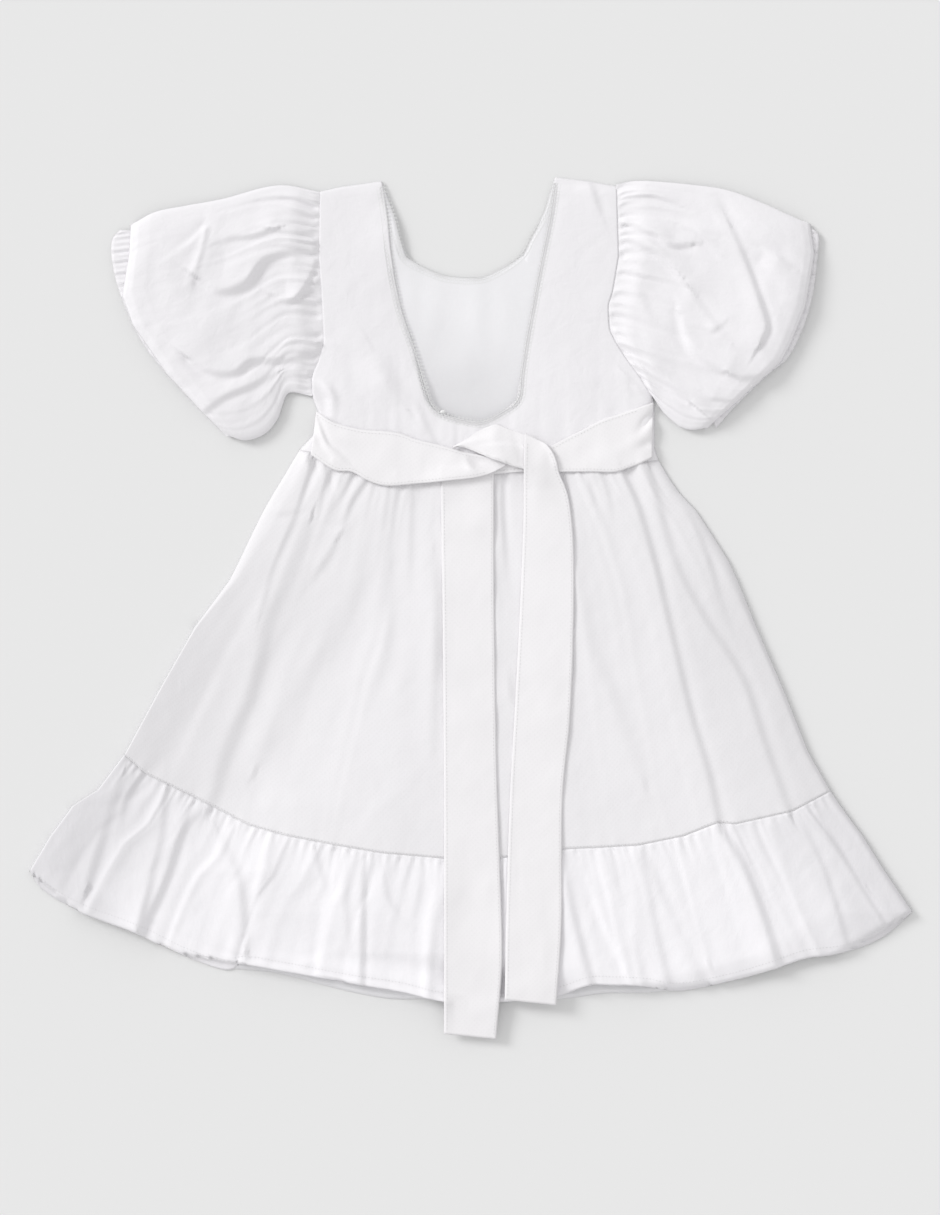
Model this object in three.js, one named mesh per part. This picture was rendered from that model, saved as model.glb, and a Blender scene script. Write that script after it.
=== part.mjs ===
// Girl's puff sleeve dress, laid flat with its back up.
// Millimetres, +Z up, the neck towards +Y, the back of the dress facing +Z.
// The origin lies on the resting surface, under the middle of the dress.
// Left and right are those of someone looking down on it.

import * as THREE from 'three';

// Driving sizes

const WALL = 1.4;           // one layer of cloth
const SEAM_GAP = 0.4;       // between two pieces at a seam
const LACE_WIDTH = 5;
const LACE_WALL = 1;
const LACE_FLOOR = 0.2;     // the front lace hangs just clear of the surface
const UPPER = WALL + 0.3;   // underside of the back, lying on the front
const LIFT = 3;             // how far the back stands off the front away from its edges
const EDGE_ROUND = 28;      // the width over which an edge rises to that
const FRONT_TUCK = 1.5;     // the front's sides lie this far inside the back's
const SASH_REACH = 9;       // the sash clears all cloth within this distance
const SASH_SLOPE = 0.3;     // the steepest that a tail climbs
const SLEEVE_EDGE = 4.5;    // height of a sleeve at its two folded edges
const CUFF_START = 0.93;    // where the cuff begins, as a share of the sleeve's length

// Tables. Each has a row of column names, then a row for each section, point or fold.

function table(columns, rows) {
  return rows.map((row) => Object.fromEntries(columns.map((name, i) => [name, row[i]])));
}

// The body's two sides from the shoulder to the ruffle's tips, level by level.
const BODY_SIDES = table(['y', 'left', 'right'], [
  [327, -113, 110],
  [316, -114, 111],
  [267, -115, 112],
  [240, -113, 107],
  [230, -112, 104],
  [211, -111, 106],
  [202, -111, 112],
  [188, -115, 120],
  [175, -121, 129],
  [160, -120, 138],
  [148, -115, 140],
  [131, -120, 140],
  [120, -130, 141],
  [112, -135, 143],
  [88, -149, 158],
  [74, -157, 172],
  [36, -176, 196],
  [21, -183, 203],
  [-14, -209, 218],
  [-60, -235, 237],
  [-110, -262, 257],
  [-138, -291, 273],
  [-173, -317, 298],
  [-200, -335, 315],
  [-231, -297, 336],
  [-262, -220, 283],
  [-284, -96, 196],
  [-298, -22, 22],
]);

const WAIST = [[-132, 117], [-107, 113], [-76, 105], [-23, 101], [22, 104], [68, 107], [114, 109], [143, 112]];

const RUFFLE_SEAM = [
  [-264, -111], [-246, -126], [-209, -144], [-168, -165], [-102, -180], [-20, -190],
  [22, -190], [70, -183], [128, -180], [162, -173], [187, -164], [245, -153], [273, -139],
];

const BACK_HEM = [
  [-335, -200], [-326, -213], [-300, -229], [-253, -247], [-218, -264], [-183, -275], [-139, -276],
  [-96, -284], [-52, -291], [-22, -298], [22, -299], [68, -294], [91, -286], [132, -287], [155, -291],
  [196, -284], [233, -273], [254, -266], [283, -262], [312, -251], [336, -231],
];

const FRONT_HEM = [
  [-331, -200], [-322, -210], [-253, -244], [-183, -270], [-110, -286], [-92, -290], [-60, -297],
  [0, -297], [70, -297], [100, -293], [140, -293], [196, -280], [254, -262], [312, -247], [333, -229],
];

// Neck edges, each as its left strap, its bottom and its right strap.
const BACK_NECK = {
  left: [[-67, 324], [-60, 270], [-52, 226], [-42, 197], [-35, 174], [-21, 148]],
  bottom: [[-21, 148], [-3, 143], [9, 142], [25, 149], [35, 158]],
  right: [[35, 158], [38, 179], [47, 232], [57, 283], [64, 327]],
};
const FRONT_NECK = {
  left: [[-67, 324], [-57, 295], [-48, 266]],
  bottom: [[-48, 266], [-36, 259], [-21, 253], [-5, 251], [10, 252], [24, 259], [38, 270]],
  right: [[38, 270], [45, 283], [55, 300], [64, 327]],
};

// The largest folds of the back. A path runs through three points, the rise is above the cloth
// round it, and below 0 for a hollow.
const FOLD_COLUMNS = ['x1', 'y1', 'x2', 'y2', 'x3', 'y3', 'half', 'startRise', 'endRise'];

const BODY_FOLDS = table(FOLD_COLUMNS, [
  [-120, 108, -146, 45, -159, -4, 9, 3, 2],
  [-132, 80, -152, -6, -182, -100, 14, 4, 7],
  [-123, 63, -164, -55, -206, -150, 9, -3, -3],
  [-79, 96, -90, 84, -98, 60, 7, 3, 2],
  [-84, 70, -104, 0, -150, -116, 13, 4, 3],
  [-73, 72, -92, 4, -159, -116, 9, -2, -3],
  [-60, 26, -62, -28, -77, -72, 12, 4, 2],
  [-42, 60, -44, -40, -60, -170, 13, 3, 4],
  [-27, 26, -25, -18, -28, -104, 8, -3, -2],
  [50, 80, 62, -40, 82, -170, 13, 3, 5],
  [68, 100, 73, 80, 79, 48, 6, -2, -2],
  [79, 26, 98, -40, 130, -126, 10, -2, -2],
  [100, 95, 124, 10, 160, -120, 13, 4, 5],
  [116, 102, 143, 22, 188, -159, 8, -4, -3],
  [132, 96, 164, 10, 212, -140, 12, 4, 5],
  [150, 76, 190, -26, 241, -152, 8, -3, -3],
  [166, 74, 204, -16, 250, -130, 11, 4, 4],
  [29, 94, 27, 10, 33, -78, 10, -3, -2],
  [-112, 202, -105, 203, -97, 200, 6, 2, 1],
  [-100, 178, -92, 168, -80, 140, 14, 3, 2],
  [125, 171, 131, 164, 136, 157, 7, 2, 2],
  [96, 319, 100, 305, 105, 292, 8, 2, 1],
]);

// The ruffle's waves, from its seam to its hem.
const RUFFLE_WAVES = table(FOLD_COLUMNS, [
  [-272, -122, -290, -160, -316, -206, 14, 2, 5],
  [-250, -130, -262, -180, -284, -230, 13, 2, 6],
  [-222, -146, -240, -190, -262, -236, 11, 2, 7],
  [-198, -156, -206, -205, -226, -256, 12, 2, 8],
  [-176, -168, -184, -215, -196, -268, 11, 2, 6],
  [-150, -174, -152, -220, -158, -272, 12, 2, 7],
  [-122, -180, -126, -225, -130, -276, 12, 2, 5],
  [-96, -184, -98, -230, -104, -282, 11, 2, 7],
  [-68, -188, -66, -235, -66, -288, 11, 2, 6],
  [-40, -190, -38, -240, -34, -294, 12, 2, 5],
  [-6, -192, -4, -240, -2, -298, 14, 1, 3],
  [28, -192, 32, -240, 36, -298, 14, 1, 3],
  [58, -188, 66, -235, 74, -292, 11, 2, 5],
  [84, -186, 98, -235, 112, -284, 12, 2, 8],
  [112, -184, 130, -235, 146, -286, 12, 2, 6],
  [140, -182, 160, -230, 178, -286, 12, 2, 5],
  [166, -174, 186, -220, 208, -280, 12, 2, 7],
  [186, -168, 208, -210, 226, -272, 11, 3, 9],
  [214, -164, 232, -205, 254, -262, 12, 2, 6],
  [238, -158, 262, -205, 284, -258, 12, 2, 6],
  [260, -150, 288, -195, 314, -246, 13, 2, 5],
]);

const LEFT_SLEEVE_FOLDS = table(FOLD_COLUMNS, [
  [-116, 294, -132, 300, -147, 305, 7, -2, -1],
  [-151, 286, -168, 282, -191, 275, 8, -4, -2],
  [-116, 268, -164, 262, -202, 246, 11, -3, -7],
  [-118, 262, -160, 274, -196, 284, 11, 3, 4],
  [-116, 257, -132, 236, -149, 235, 8, -2, -3],
  [-120, 226, -160, 224, -214, 216, 13, 3, 5],
  [-116, 192, -160, 190, -209, 186, 10, -4, -6],
  [-122, 182, -160, 172, -196, 166, 9, 3, 3],
  [-147, 178, -170, 166, -201, 148, 7, -3, -3],
  [-224, 269, -199, 296, -209, 248, 8, -3, -3],
]);

const RIGHT_SLEEVE_FOLDS = table(FOLD_COLUMNS, [
  [115, 312, 139, 311, 158, 305, 7, -2, -2],
  [119, 290, 142, 280, 165, 275, 8, -3, -2],
  [117, 300, 160, 296, 200, 280, 12, 3, 4],
  [115, 279, 142, 270, 163, 246, 9, -4, -4],
  [163, 246, 181, 221, 197, 202, 10, 3, 3],
  [198, 285, 218, 244, 221, 202, 9, -3, -5],
  [216, 262, 230, 250, 240, 222, 13, 5, 4],
  [109, 207, 134, 186, 165, 157, 8, -4, -4],
  [112, 222, 140, 204, 160, 182, 10, 3, 3],
  [158, 221, 168, 184, 219, 174, 8, -3, -4],
]);

// A sleeve's sections from the armhole to its end.
const SLEEVE_SECTIONS = table(['along', 'dome'], [
  [0, 0],
  [0.06, 6],
  [0.14, 14],
  [0.26, 21],
  [0.4, 25],
  [0.55, 26],
  [0.68, 24],
  [0.8, 18],
  [0.88, 12],
  [CUFF_START, 7],
]);

// The armholes, each divided into equal levels that the bodice and the sleeve share.
const ARMHOLE = { low: 160, top: { left: 316, right: 320 }, levels: 10 };

const LEFT_SLEEVE = {
  side: 'left',
  cuff: [[-272, 281], [-271, 257], [-261, 226], [-248, 200], [-230, 178], [-202, 147], [-186, 133]],
  shoulder: [[-114, 316], [-145, 321], [-190, 310], [-217, 305], [-245, 299], [-263, 290], [-272, 281]],
  underarm: [[-120, 160], [-138, 163], [-145, 150], [-156, 135], [-171, 128], [-186, 133]],
};
const RIGHT_SLEEVE = {
  side: 'right',
  cuff: [[262, 287], [263, 267], [256, 226], [239, 188], [226, 178], [197, 150], [188, 138]],
  shoulder: [[111, 320], [123, 324], [169, 321], [195, 317], [222, 307], [250, 295], [262, 287]],
  underarm: [[138, 160], [152, 143], [169, 136], [188, 138]],
};

// The sash, from above. Each band is given by its two long edges.
const SASH_LEFT = {
  upper: [[-114, 147], [-84, 139], [-54, 131], [-20, 122]],
  lower: [[-123, 118], [-108, 110], [-90, 101], [-78, 96], [-54, 93], [-20, 94]],
};
const SASH_KNOT = {
  upper: [[-19.5, 121], [-11, 124], [4, 132], [20, 139], [38, 134]],
  lower: [[-19.5, 95], [-3, 97], [17, 101], [40, 103]],
};
const SASH_RIGHT = {
  upper: [[66, 123], [84, 134], [108, 146], [138, 155]],
  lower: [[74, 102], [90, 102], [111, 103], [127, 109], [140, 113]],
};
const TAIL_LEFT = {
  left: [[-22, 91], [-21, -9], [-20, -199], [-20, -323]],
  right: [[16, 97], [18, -9], [22, -199], [24, -268], [19, -327]],
};
const TAIL_RIGHT = {
  left: [[39.5, 133.5], [41, 62], [34, -69], [30, -142], [27, -297]],
  right: [[64, 121], [73, 100], [79, 76], [78, 4], [75, -84], [70, -142], [69, -243], [65, -300]],
};

// Geometry helpers

const smooth = (value, low, high) => THREE.MathUtils.smoothstep(value, low, high);
const mix = THREE.MathUtils.lerp;

function curveThrough(points) {
  const knots = points.map(([x, y]) => new THREE.Vector3(x, y, 0));
  return new THREE.CatmullRomCurve3(knots, false, 'centripetal');
}

// The value in a table's column at a level between its rows.
function readTable(rows, key, column, level) {
  const descending = rows[0][key] > rows[1][key];
  const next = rows.findIndex((row) => (descending ? row[key] <= level : row[key] >= level));
  if (next === 0) return rows[0][column];
  if (next === -1) return rows[rows.length - 1][column];
  const [a, b] = [rows[next - 1], rows[next]];
  return mix(a[column], b[column], (level - a[key]) / (b[key] - a[key]));
}

const sideAt = (side, y) => readTable(BODY_SIDES, 'y', side, y);

const armholeLevel = (side, share) => mix(ARMHOLE.top[side], ARMHOLE.low, share);

// A point on an armhole, from the shoulder (0) to the underarm (1), straight between levels.
function armholeAt(side, share) {
  const level = Math.min(Math.floor(share * ARMHOLE.levels + 1e-6), ARMHOLE.levels - 1);
  const [from, to] = [level, level + 1].map((k) => sideAt(side, armholeLevel(side, k / ARMHOLE.levels)));
  return { x: mix(from, to, share * ARMHOLE.levels - level), y: armholeLevel(side, share) };
}

// A patch of cloth between four edges: u runs left to right and v runs bottom to top.
function patch({ left, right, bottom, top }) {
  const corner = { bl: bottom(0), br: bottom(1), tl: top(0), tr: top(1) };
  const blend = (u, v, axis) =>
    (1 - u) * left(v)[axis] + u * right(v)[axis] + (1 - v) * bottom(u)[axis] + v * top(u)[axis]
    - (1 - u) * (1 - v) * corner.bl[axis] - u * (1 - v) * corner.br[axis]
    - (1 - u) * v * corner.tl[axis] - u * v * corner.tr[axis];
  return (u, v) => ({ x: blend(u, v, 'x'), y: blend(u, v, 'y') });
}

// A closed wall over a grid of cells. place(i, j) gives the x and y of a grid point, floor(x, y)
// the height of the cloth's underside there, and keep(i, j) says which cells hold cloth.
function wallGeometry({ columns, rows, place, floor, wall = WALL, keep = () => true }) {
  const positions = [];
  const triangles = [];
  const ids = new Map();
  const cell = (i, j) => i >= 0 && j >= 0 && i < columns && j < rows && keep(i, j);

  const vertex = (i, j, upper) => {
    const key = `${i},${j},${upper}`;
    if (!ids.has(key)) {
      const { x, y } = place(i, j);
      ids.set(key, positions.length / 3);
      positions.push(x, y, floor(x, y) + (upper ? wall : 0));
    }
    return ids.get(key);
  };
  const quad = (a, b, c, d) => triangles.push(a, b, c, a, c, d);

  for (let i = 0; i < columns; i += 1) {
    for (let j = 0; j < rows; j += 1) {
      if (!cell(i, j)) continue;
      const corners = [[i, j], [i + 1, j], [i + 1, j + 1], [i, j + 1]];
      quad(...corners.map(([p, q]) => vertex(p, q, true)));
      quad(...corners.map(([p, q]) => vertex(p, q, false)).reverse());
      const beyond = [[i, j - 1], [i + 1, j], [i, j + 1], [i - 1, j]];
      beyond.forEach(([p, q], side) => {
        if (cell(p, q)) return;
        const [from, to] = [corners[side], corners[(side + 1) % 4]];
        quad(vertex(...from, false), vertex(...to, false), vertex(...to, true), vertex(...from, true));
      });
    }
  }
  return geometryFrom(positions, triangles);
}

// A tube wall through rings: outer[k] and inner[k] are matching loops, seen anticlockwise from
// the end that they run towards.
function tubeGeometry(outer, inner) {
  const around = outer[0].length;
  const rings = outer.length;
  const positions = [...outer, ...inner].flat().flatMap(({ x, y, z }) => [x, y, z]);
  const triangles = [];
  const id = (skin, ring, k) => (skin * rings + ring) * around + (k % around);
  const quad = (a, b, c, d) => triangles.push(a, b, c, a, c, d);

  for (let k = 0; k < around; k += 1) {
    for (let ring = 0; ring < rings - 1; ring += 1) {
      quad(id(0, ring, k), id(0, ring, k + 1), id(0, ring + 1, k + 1), id(0, ring + 1, k));
      quad(id(1, ring, k), id(1, ring + 1, k), id(1, ring + 1, k + 1), id(1, ring, k + 1));
    }
    const last = rings - 1;
    quad(id(0, 0, k), id(1, 0, k), id(1, 0, k + 1), id(0, 0, k + 1));
    quad(id(0, last, k), id(0, last, k + 1), id(1, last, k + 1), id(1, last, k));
  }
  return geometryFrom(positions, triangles);
}

function geometryFrom(positions, triangles) {
  const geometry = new THREE.BufferGeometry();
  geometry.setAttribute('position', new THREE.Float32BufferAttribute(positions, 3));
  geometry.setIndex(triangles);
  geometry.computeVertexNormals();
  return geometry;
}

// Folds and the form of the back

const FOLD_SAMPLES = 14;

function foldPath(fold) {
  const middle = new THREE.Vector2(
    2 * fold.x2 - (fold.x1 + fold.x3) / 2,
    2 * fold.y2 - (fold.y1 + fold.y3) / 2,
  );
  const start = new THREE.Vector2(fold.x1, fold.y1);
  const end = new THREE.Vector2(fold.x3, fold.y3);
  return new THREE.QuadraticBezierCurve(start, middle, end).getPoints(FOLD_SAMPLES);
}

// The rise that a list of folds gives at a point: a soft ridge or hollow along each path.
function foldField(folds) {
  const paths = folds.map((fold) => ({ ...fold, points: foldPath(fold) }));
  return (x, y) => {
    let rise = 0;
    for (const { points, half, startRise, endRise } of paths) {
      let nearest = Infinity;
      let share = 0;
      for (let k = 0; k < FOLD_SAMPLES; k += 1) {
        const [a, b] = [points[k], points[k + 1]];
        const [dx, dy] = [b.x - a.x, b.y - a.y];
        const along = THREE.MathUtils.clamp(((x - a.x) * dx + (y - a.y) * dy) / (dx * dx + dy * dy), 0, 1);
        const distance = Math.hypot(x - a.x - along * dx, y - a.y - along * dy);
        if (distance < nearest) {
          nearest = distance;
          share = (k + along) / FOLD_SAMPLES;
        }
      }
      if (nearest < half) {
        rise += mix(startRise, endRise, share) * Math.cos((Math.PI / 2) * (nearest / half)) ** 2;
      }
    }
    return rise;
  };
}

const bodyFolds = foldField(BODY_FOLDS);
const ruffleWaves = foldField(RUFFLE_WAVES);
const leftSleeveFolds = foldField(LEFT_SLEEVE_FOLDS);
const rightSleeveFolds = foldField(RIGHT_SLEEVE_FOLDS);

const waistCurve = curveThrough(WAIST);

// The ruffle's seam is straight between columns, so that skirt and ruffle meet evenly.
const SEAM_COLUMNS = 56;
const seamPoints = curveThrough(RUFFLE_SEAM).getSpacedPoints(SEAM_COLUMNS);
function ruffleSeamAt(u) {
  const column = Math.min(Math.floor(u * SEAM_COLUMNS + 1e-6), SEAM_COLUMNS - 1);
  return seamPoints[column].clone().lerp(seamPoints[column + 1], u * SEAM_COLUMNS - column);
}

// How far a point lies below a curve that runs left to right.
function drop(points) {
  const knots = points.map(({ x, y }) => ({ x, y }));
  return (x, y) => readTable(knots, 'x', 'y', x) - y;
}
const belowWaist = drop(waistCurve.getSpacedPoints(40));
const belowRuffleSeam = drop(seamPoints);

const WAIST_GATHER = { pitch: 13, height: 1.5, length: 45 };
const RUFFLE_GATHER = { pitch: 14, height: 1.1, length: 30 };

// Uneven ripples along x that die away below a gathered seam.
function gather({ pitch, height, length }, x, below) {
  if (below < 0) return 0;
  const uneven = x + 3.5 * Math.sin(x / 21) + 2 * Math.sin(x / 9.3 + 1);
  return (height / 2) * (1 + Math.sin((2 * Math.PI * uneven) / pitch)) * Math.exp(-below / length);
}

// The underside of the back above the resting surface.
function backFloor(x, y) {
  const inset = Math.min(x - sideAt('left', y), sideAt('right', y) - x);
  const bySleeve = smooth(y, 165, 190);
  const shoulder = 1 - smooth(y, 296, 322);
  const edge = Math.max(smooth(inset, 0, EDGE_ROUND), bySleeve);
  const ruffle = smooth(belowRuffleSeam(x, y), 0, 12);
  const folds = mix(bodyFolds(x, y), ruffleWaves(x, y), ruffle);
  const freeEdge = Math.max(smooth(inset, 0, 10), ruffle);
  const gathers = gather(WAIST_GATHER, x, belowWaist(x, y)) * (1 - ruffle)
    + gather(RUFFLE_GATHER, x, belowRuffleSeam(x, y)) * ruffle;
  return UPPER + Math.max(0, LIFT * edge * shoulder + folds * freeEdge + gathers * freeEdge);
}

const frontFloor = () => 0;

// The bodice

// A neck edge as points in order, with rows for the straps and columns for the bottom.
function neckPoints(neck, strapRows, bottomColumns) {
  const left = curveThrough(neck.left).getSpacedPoints(strapRows);
  const bottom = curveThrough(neck.bottom).getSpacedPoints(bottomColumns);
  const right = curveThrough(neck.right).getSpacedPoints(strapRows);
  return [...left, ...bottom.slice(1), ...right.slice(1)];
}

// The same points moved into the cloth, at right angles to the edge.
function movedIntoCloth(points, distance) {
  return points.map((point, k) => {
    const before = points[Math.max(k - 1, 0)];
    const after = points[Math.min(k + 1, points.length - 1)];
    const length = Math.hypot(after.x - before.x, after.y - before.y);
    const x = point.x + (distance * (after.y - before.y)) / length;
    const y = point.y - (distance * (after.x - before.x)) / length;
    return { x, y };
  });
}

// A bodice panel: rows up to the neck's bottom run right across, and the rows above are straps.
// The straps take strapRows of the armhole's levels, and the rest lie in the rows below.
function bodicePanel({ neck, strapRows, belowArmhole, sideColumns, bottomColumns, tuck, floor }) {
  const edge = movedIntoCloth(neckPoints(neck, strapRows, bottomColumns), LACE_WIDTH + SEAM_GAP);
  const columns = sideColumns * 2 + bottomColumns;
  const lowerRows = belowArmhole + ARMHOLE.levels - strapRows;
  const waistLevel = { left: WAIST[0][1] + SEAM_GAP, right: WAIST[WAIST.length - 1][1] + SEAM_GAP };
  const side = (name, row) => {
    const inward = name === 'left' ? tuck : -tuck;
    if (row < belowArmhole) {
      const y = mix(waistLevel[name], ARMHOLE.low, row / belowArmhole);
      return { x: sideAt(name, y) + inward, y };
    }
    const { x, y } = armholeAt(name, 1 - (row - belowArmhole) / ARMHOLE.levels);
    return { x: x + inward, y };
  };
  const between = (a, b, share) => ({ x: mix(a.x, b.x, share), y: mix(a.y, b.y, share) });

  const splitRow = (i) => {
    if (i <= sideColumns) return between(side('left', lowerRows), edge[strapRows], i / sideColumns);
    if (i <= sideColumns + bottomColumns) return edge[strapRows + i - sideColumns];
    const share = (i - sideColumns - bottomColumns) / sideColumns;
    return between(edge[edge.length - 1 - strapRows], side('right', lowerRows), share);
  };
  const lower = patch({
    left: (v) => side('left', v * lowerRows),
    right: (v) => side('right', v * lowerRows),
    bottom: (u) => {
      const { x, y } = waistCurve.getPointAt(u);
      return { x: x + tuck * (1 - 2 * u), y: y + SEAM_GAP };
    },
    top: (u) => splitRow(Math.round(u * columns)),
  });

  const place = (i, j) => {
    if (j <= lowerRows) return lower(i / columns, j / lowerRows);
    const step = j - lowerRows;
    if (i <= sideColumns) return between(side('left', j), edge[strapRows - step], i / sideColumns);
    const share = (i - sideColumns - bottomColumns) / sideColumns;
    return between(edge[edge.length - 1 - strapRows + step], side('right', j), share);
  };
  const keep = (i, j) => j < lowerRows || i < sideColumns || i >= sideColumns + bottomColumns;
  return wallGeometry({ columns, rows: lowerRows + strapRows, place, floor, keep });
}

// Lace along a neck edge: its outer edge is the neck's, and its inner edge meets the bodice.
function laceRibbon({ neck, strapRows, bottomColumns, floor }) {
  const outer = neckPoints(neck, strapRows, bottomColumns);
  const inner = movedIntoCloth(outer, LACE_WIDTH);
  const place = (i, j) => (j === 0 ? inner[i] : outer[i]);
  return wallGeometry({ columns: outer.length - 1, rows: 1, place, floor, wall: LACE_WALL });
}

const BACK_GRID = { neck: BACK_NECK, strapRows: 10, bottomColumns: 6 };
const FRONT_GRID = { neck: FRONT_NECK, strapRows: 4, bottomColumns: 8 };

const backBodice = () => bodicePanel({
  ...BACK_GRID, belowArmhole: 3, sideColumns: 8, tuck: 0, floor: backFloor,
});
const frontBodice = () => bodicePanel({
  ...FRONT_GRID, belowArmhole: 2, sideColumns: 4, tuck: FRONT_TUCK, floor: frontFloor,
});

// The skirt and the ruffle

function skirtPanel({ columns, rows, tuck, floor }) {
  const levels = (name) => {
    const [top, bottom] = name === 'left' ? [0, 0] : [WAIST.length - 1, RUFFLE_SEAM.length - 1];
    return [RUFFLE_SEAM[bottom][1], WAIST[top][1]];
  };
  const side = (name) => (v) => {
    const [low, high] = levels(name);
    const y = mix(low, high, v);
    return { x: sideAt(name, y) + (name === 'left' ? tuck : -tuck), y };
  };
  const tucked = (edge) => (u) => ({ x: edge(u).x + tuck * (1 - 2 * u), y: edge(u).y });
  const at = patch({
    left: side('left'),
    right: side('right'),
    bottom: tucked(ruffleSeamAt),
    top: tucked((u) => waistCurve.getPointAt(u)),
  });
  const place = (i, j) => at(i / columns, j / rows);
  return wallGeometry({ columns, rows, place, floor });
}

function rufflePanel({ columns, rows, hem, tuck, floor }) {
  const hemCurve = curveThrough(hem);
  const seam = (u) => {
    const { x, y } = ruffleSeamAt(u);
    return { x: x + tuck * (1 - 2 * u), y: y - SEAM_GAP };
  };
  const end = (u) => (v) => {
    const [low, high] = [hemCurve.getPointAt(u), seam(u)];
    return { x: mix(low.x, high.x, v), y: mix(low.y, high.y, v) };
  };
  const at = patch({ left: end(0), right: end(1), bottom: (u) => hemCurve.getPointAt(u), top: seam });
  const place = (i, j) => at(i / columns, j / rows);
  return wallGeometry({ columns, rows, place, floor });
}

// The sleeves

const GATHERED = { share: 0.6, points: 24, pitches: 8, height: 2.2, length: 0.16 };
const PLAIN_POINTS = 8;
const LOWER_POINTS = ARMHOLE.levels + 1;
const DOME_POWER = 0.8;
const CUFF_DOME = 6;
const CUFF_GAP = 0.008;
const TUBE_CLEARANCE = 0.4;

// Stations down the sleeve's width: close together where its head is gathered.
function sleeveWidths() {
  const gathered = Array.from({ length: GATHERED.points }, (_, k) => (GATHERED.share * k) / GATHERED.points);
  const plain = Array.from(
    { length: PLAIN_POINTS + 1 },
    (_, k) => mix(GATHERED.share, 1, k / PLAIN_POINTS),
  );
  return [...gathered, ...plain];
}

function sleevePlan(outline) {
  const [end, shoulder, underarm] = [outline.cuff, outline.shoulder, outline.underarm].map(curveThrough);
  return patch({
    left: (w) => armholeAt(outline.side, w),
    right: (w) => end.getPointAt(w),
    bottom: (s) => shoulder.getPointAt(s),
    top: (s) => underarm.getPointAt(s),
  });
}

// One section of a sleeve or cuff: an outer and an inner loop with a flat underside.
function sleeveLoops({ plan, along, dome, folds, outward, startGap, blend }) {
  const at = (w) => {
    const { x, y } = plan(along, w);
    return { x: x + outward * startGap * (1 - along), y };
  };
  const gatherWave = (w) => {
    if (w > GATHERED.share) return 0;
    const wave = Math.sin((2 * Math.PI * GATHERED.pitches * w) / GATHERED.share);
    return GATHERED.height * wave * smooth(along, 0, 0.03) * Math.exp(-along / GATHERED.length);
  };
  const height = (w) => {
    const { x, y } = at(w);
    const inside = smooth(Math.min(w, 1 - w), 0, 0.12);
    const puff = SLEEVE_EDGE + dome * Math.sin(Math.PI * w) ** DOME_POWER;
    const free = puff + (folds(x, y) * smooth(along, 0, 0.1) + gatherWave(w)) * inside;
    const seam = backFloor(x, y) + WALL;
    return Math.max(SLEEVE_EDGE, mix(free, seam, blend));
  };
  const widths = sleeveWidths();
  const width = Math.hypot(at(1).x - at(0).x, at(1).y - at(0).y);
  const margin = WALL / width;
  const drops = (w) => {
    const step = 0.01;
    const slope = (height(Math.min(w + step, 1)) - height(Math.max(w - step, 0))) / (2 * step * width);
    return WALL * Math.min(Math.hypot(1, slope), 1.8);
  };
  const ceiling = (w) => Math.max(height(w) - drops(w), WALL + TUBE_CLEARANCE);
  const lowerWidths = Array.from({ length: LOWER_POINTS }, (_, k) => 1 - k / (LOWER_POINTS - 1));
  const inward = (w) => mix(margin, 1 - margin, w);

  const outer = [
    ...widths.map((w) => ({ ...at(w), z: height(w) })),
    ...lowerWidths.map((w) => ({ ...at(w), z: 0 })),
  ];
  const inner = [
    ...widths.map((w) => ({ ...at(inward(w)), z: ceiling(inward(w)) })),
    ...lowerWidths.map((w) => ({ ...at(inward(w)), z: WALL })),
  ];
  return { outer, inner };
}

// A left sleeve runs towards -X, so its loops are turned round.
function tubeFrom(sections, outward) {
  const turn = (loop) => (outward > 0 ? loop : [...loop].reverse());
  return tubeGeometry(sections.map(({ outer }) => turn(outer)), sections.map(({ inner }) => turn(inner)));
}

function sleeve(outline, folds, outward) {
  const plan = sleevePlan(outline);
  const sections = SLEEVE_SECTIONS.map(({ along, dome }) => sleeveLoops({
    plan, along, dome, folds, outward, startGap: SEAM_GAP, blend: 1 - smooth(along, 0, 0.1),
  }));
  return tubeFrom(sections, outward);
}

function cuff(outline, outward) {
  const plan = sleevePlan(outline);
  const sections = [CUFF_START + CUFF_GAP, 0.97, 1].map((along) => sleeveLoops({
    plan, along, dome: CUFF_DOME, folds: () => 0, outward, startGap: 0, blend: 0,
  }));
  return tubeFrom(sections, outward);
}

// The sash

// The lowest level that clears all cloth of the back within reach of a point.
function clearLevel(x, y) {
  const beyondHem = (px, py) => py < readTable(HEM_LEVELS, 'x', 'y', px);
  const levels = [0, 1, 2, 3, 4, 5, 6, 7].map((k) => {
    const angle = (k * Math.PI) / 4;
    const [px, py] = [x + SASH_REACH * Math.cos(angle), y + SASH_REACH * Math.sin(angle)];
    return beyondHem(px, py) ? WALL : backFloor(px, py) + WALL;
  });
  return Math.max(...levels, backFloor(x, y) + WALL * (beyondHem(x, y) ? 0 : 1)) + SEAM_GAP;
}
const HEM_LEVELS = curveThrough(BACK_HEM).getSpacedPoints(80).map(({ x, y }) => ({ x, y }));

function sashBand({ upper, lower }, columns, rows, puff) {
  const [top, bottom] = [curveThrough(upper), curveThrough(lower)];
  const join = (u) => (v) => {
    const [low, high] = [bottom.getPointAt(u), top.getPointAt(u)];
    return { x: mix(low.x, high.x, v), y: mix(low.y, high.y, v) };
  };
  const at = patch({
    left: join(0), right: join(1), bottom: (u) => bottom.getPointAt(u), top: (u) => top.getPointAt(u),
  });
  const centre = at(0.5, 0.5);
  const floor = (x, y) => {
    const away = Math.hypot((x - centre.x) / 30, (y - centre.y) / 18);
    return clearLevel(x, y) + puff * (1 - smooth(away, 0, 1));
  };
  return wallGeometry({ columns, rows, place: (i, j) => at(i / columns, j / rows), floor });
}

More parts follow.
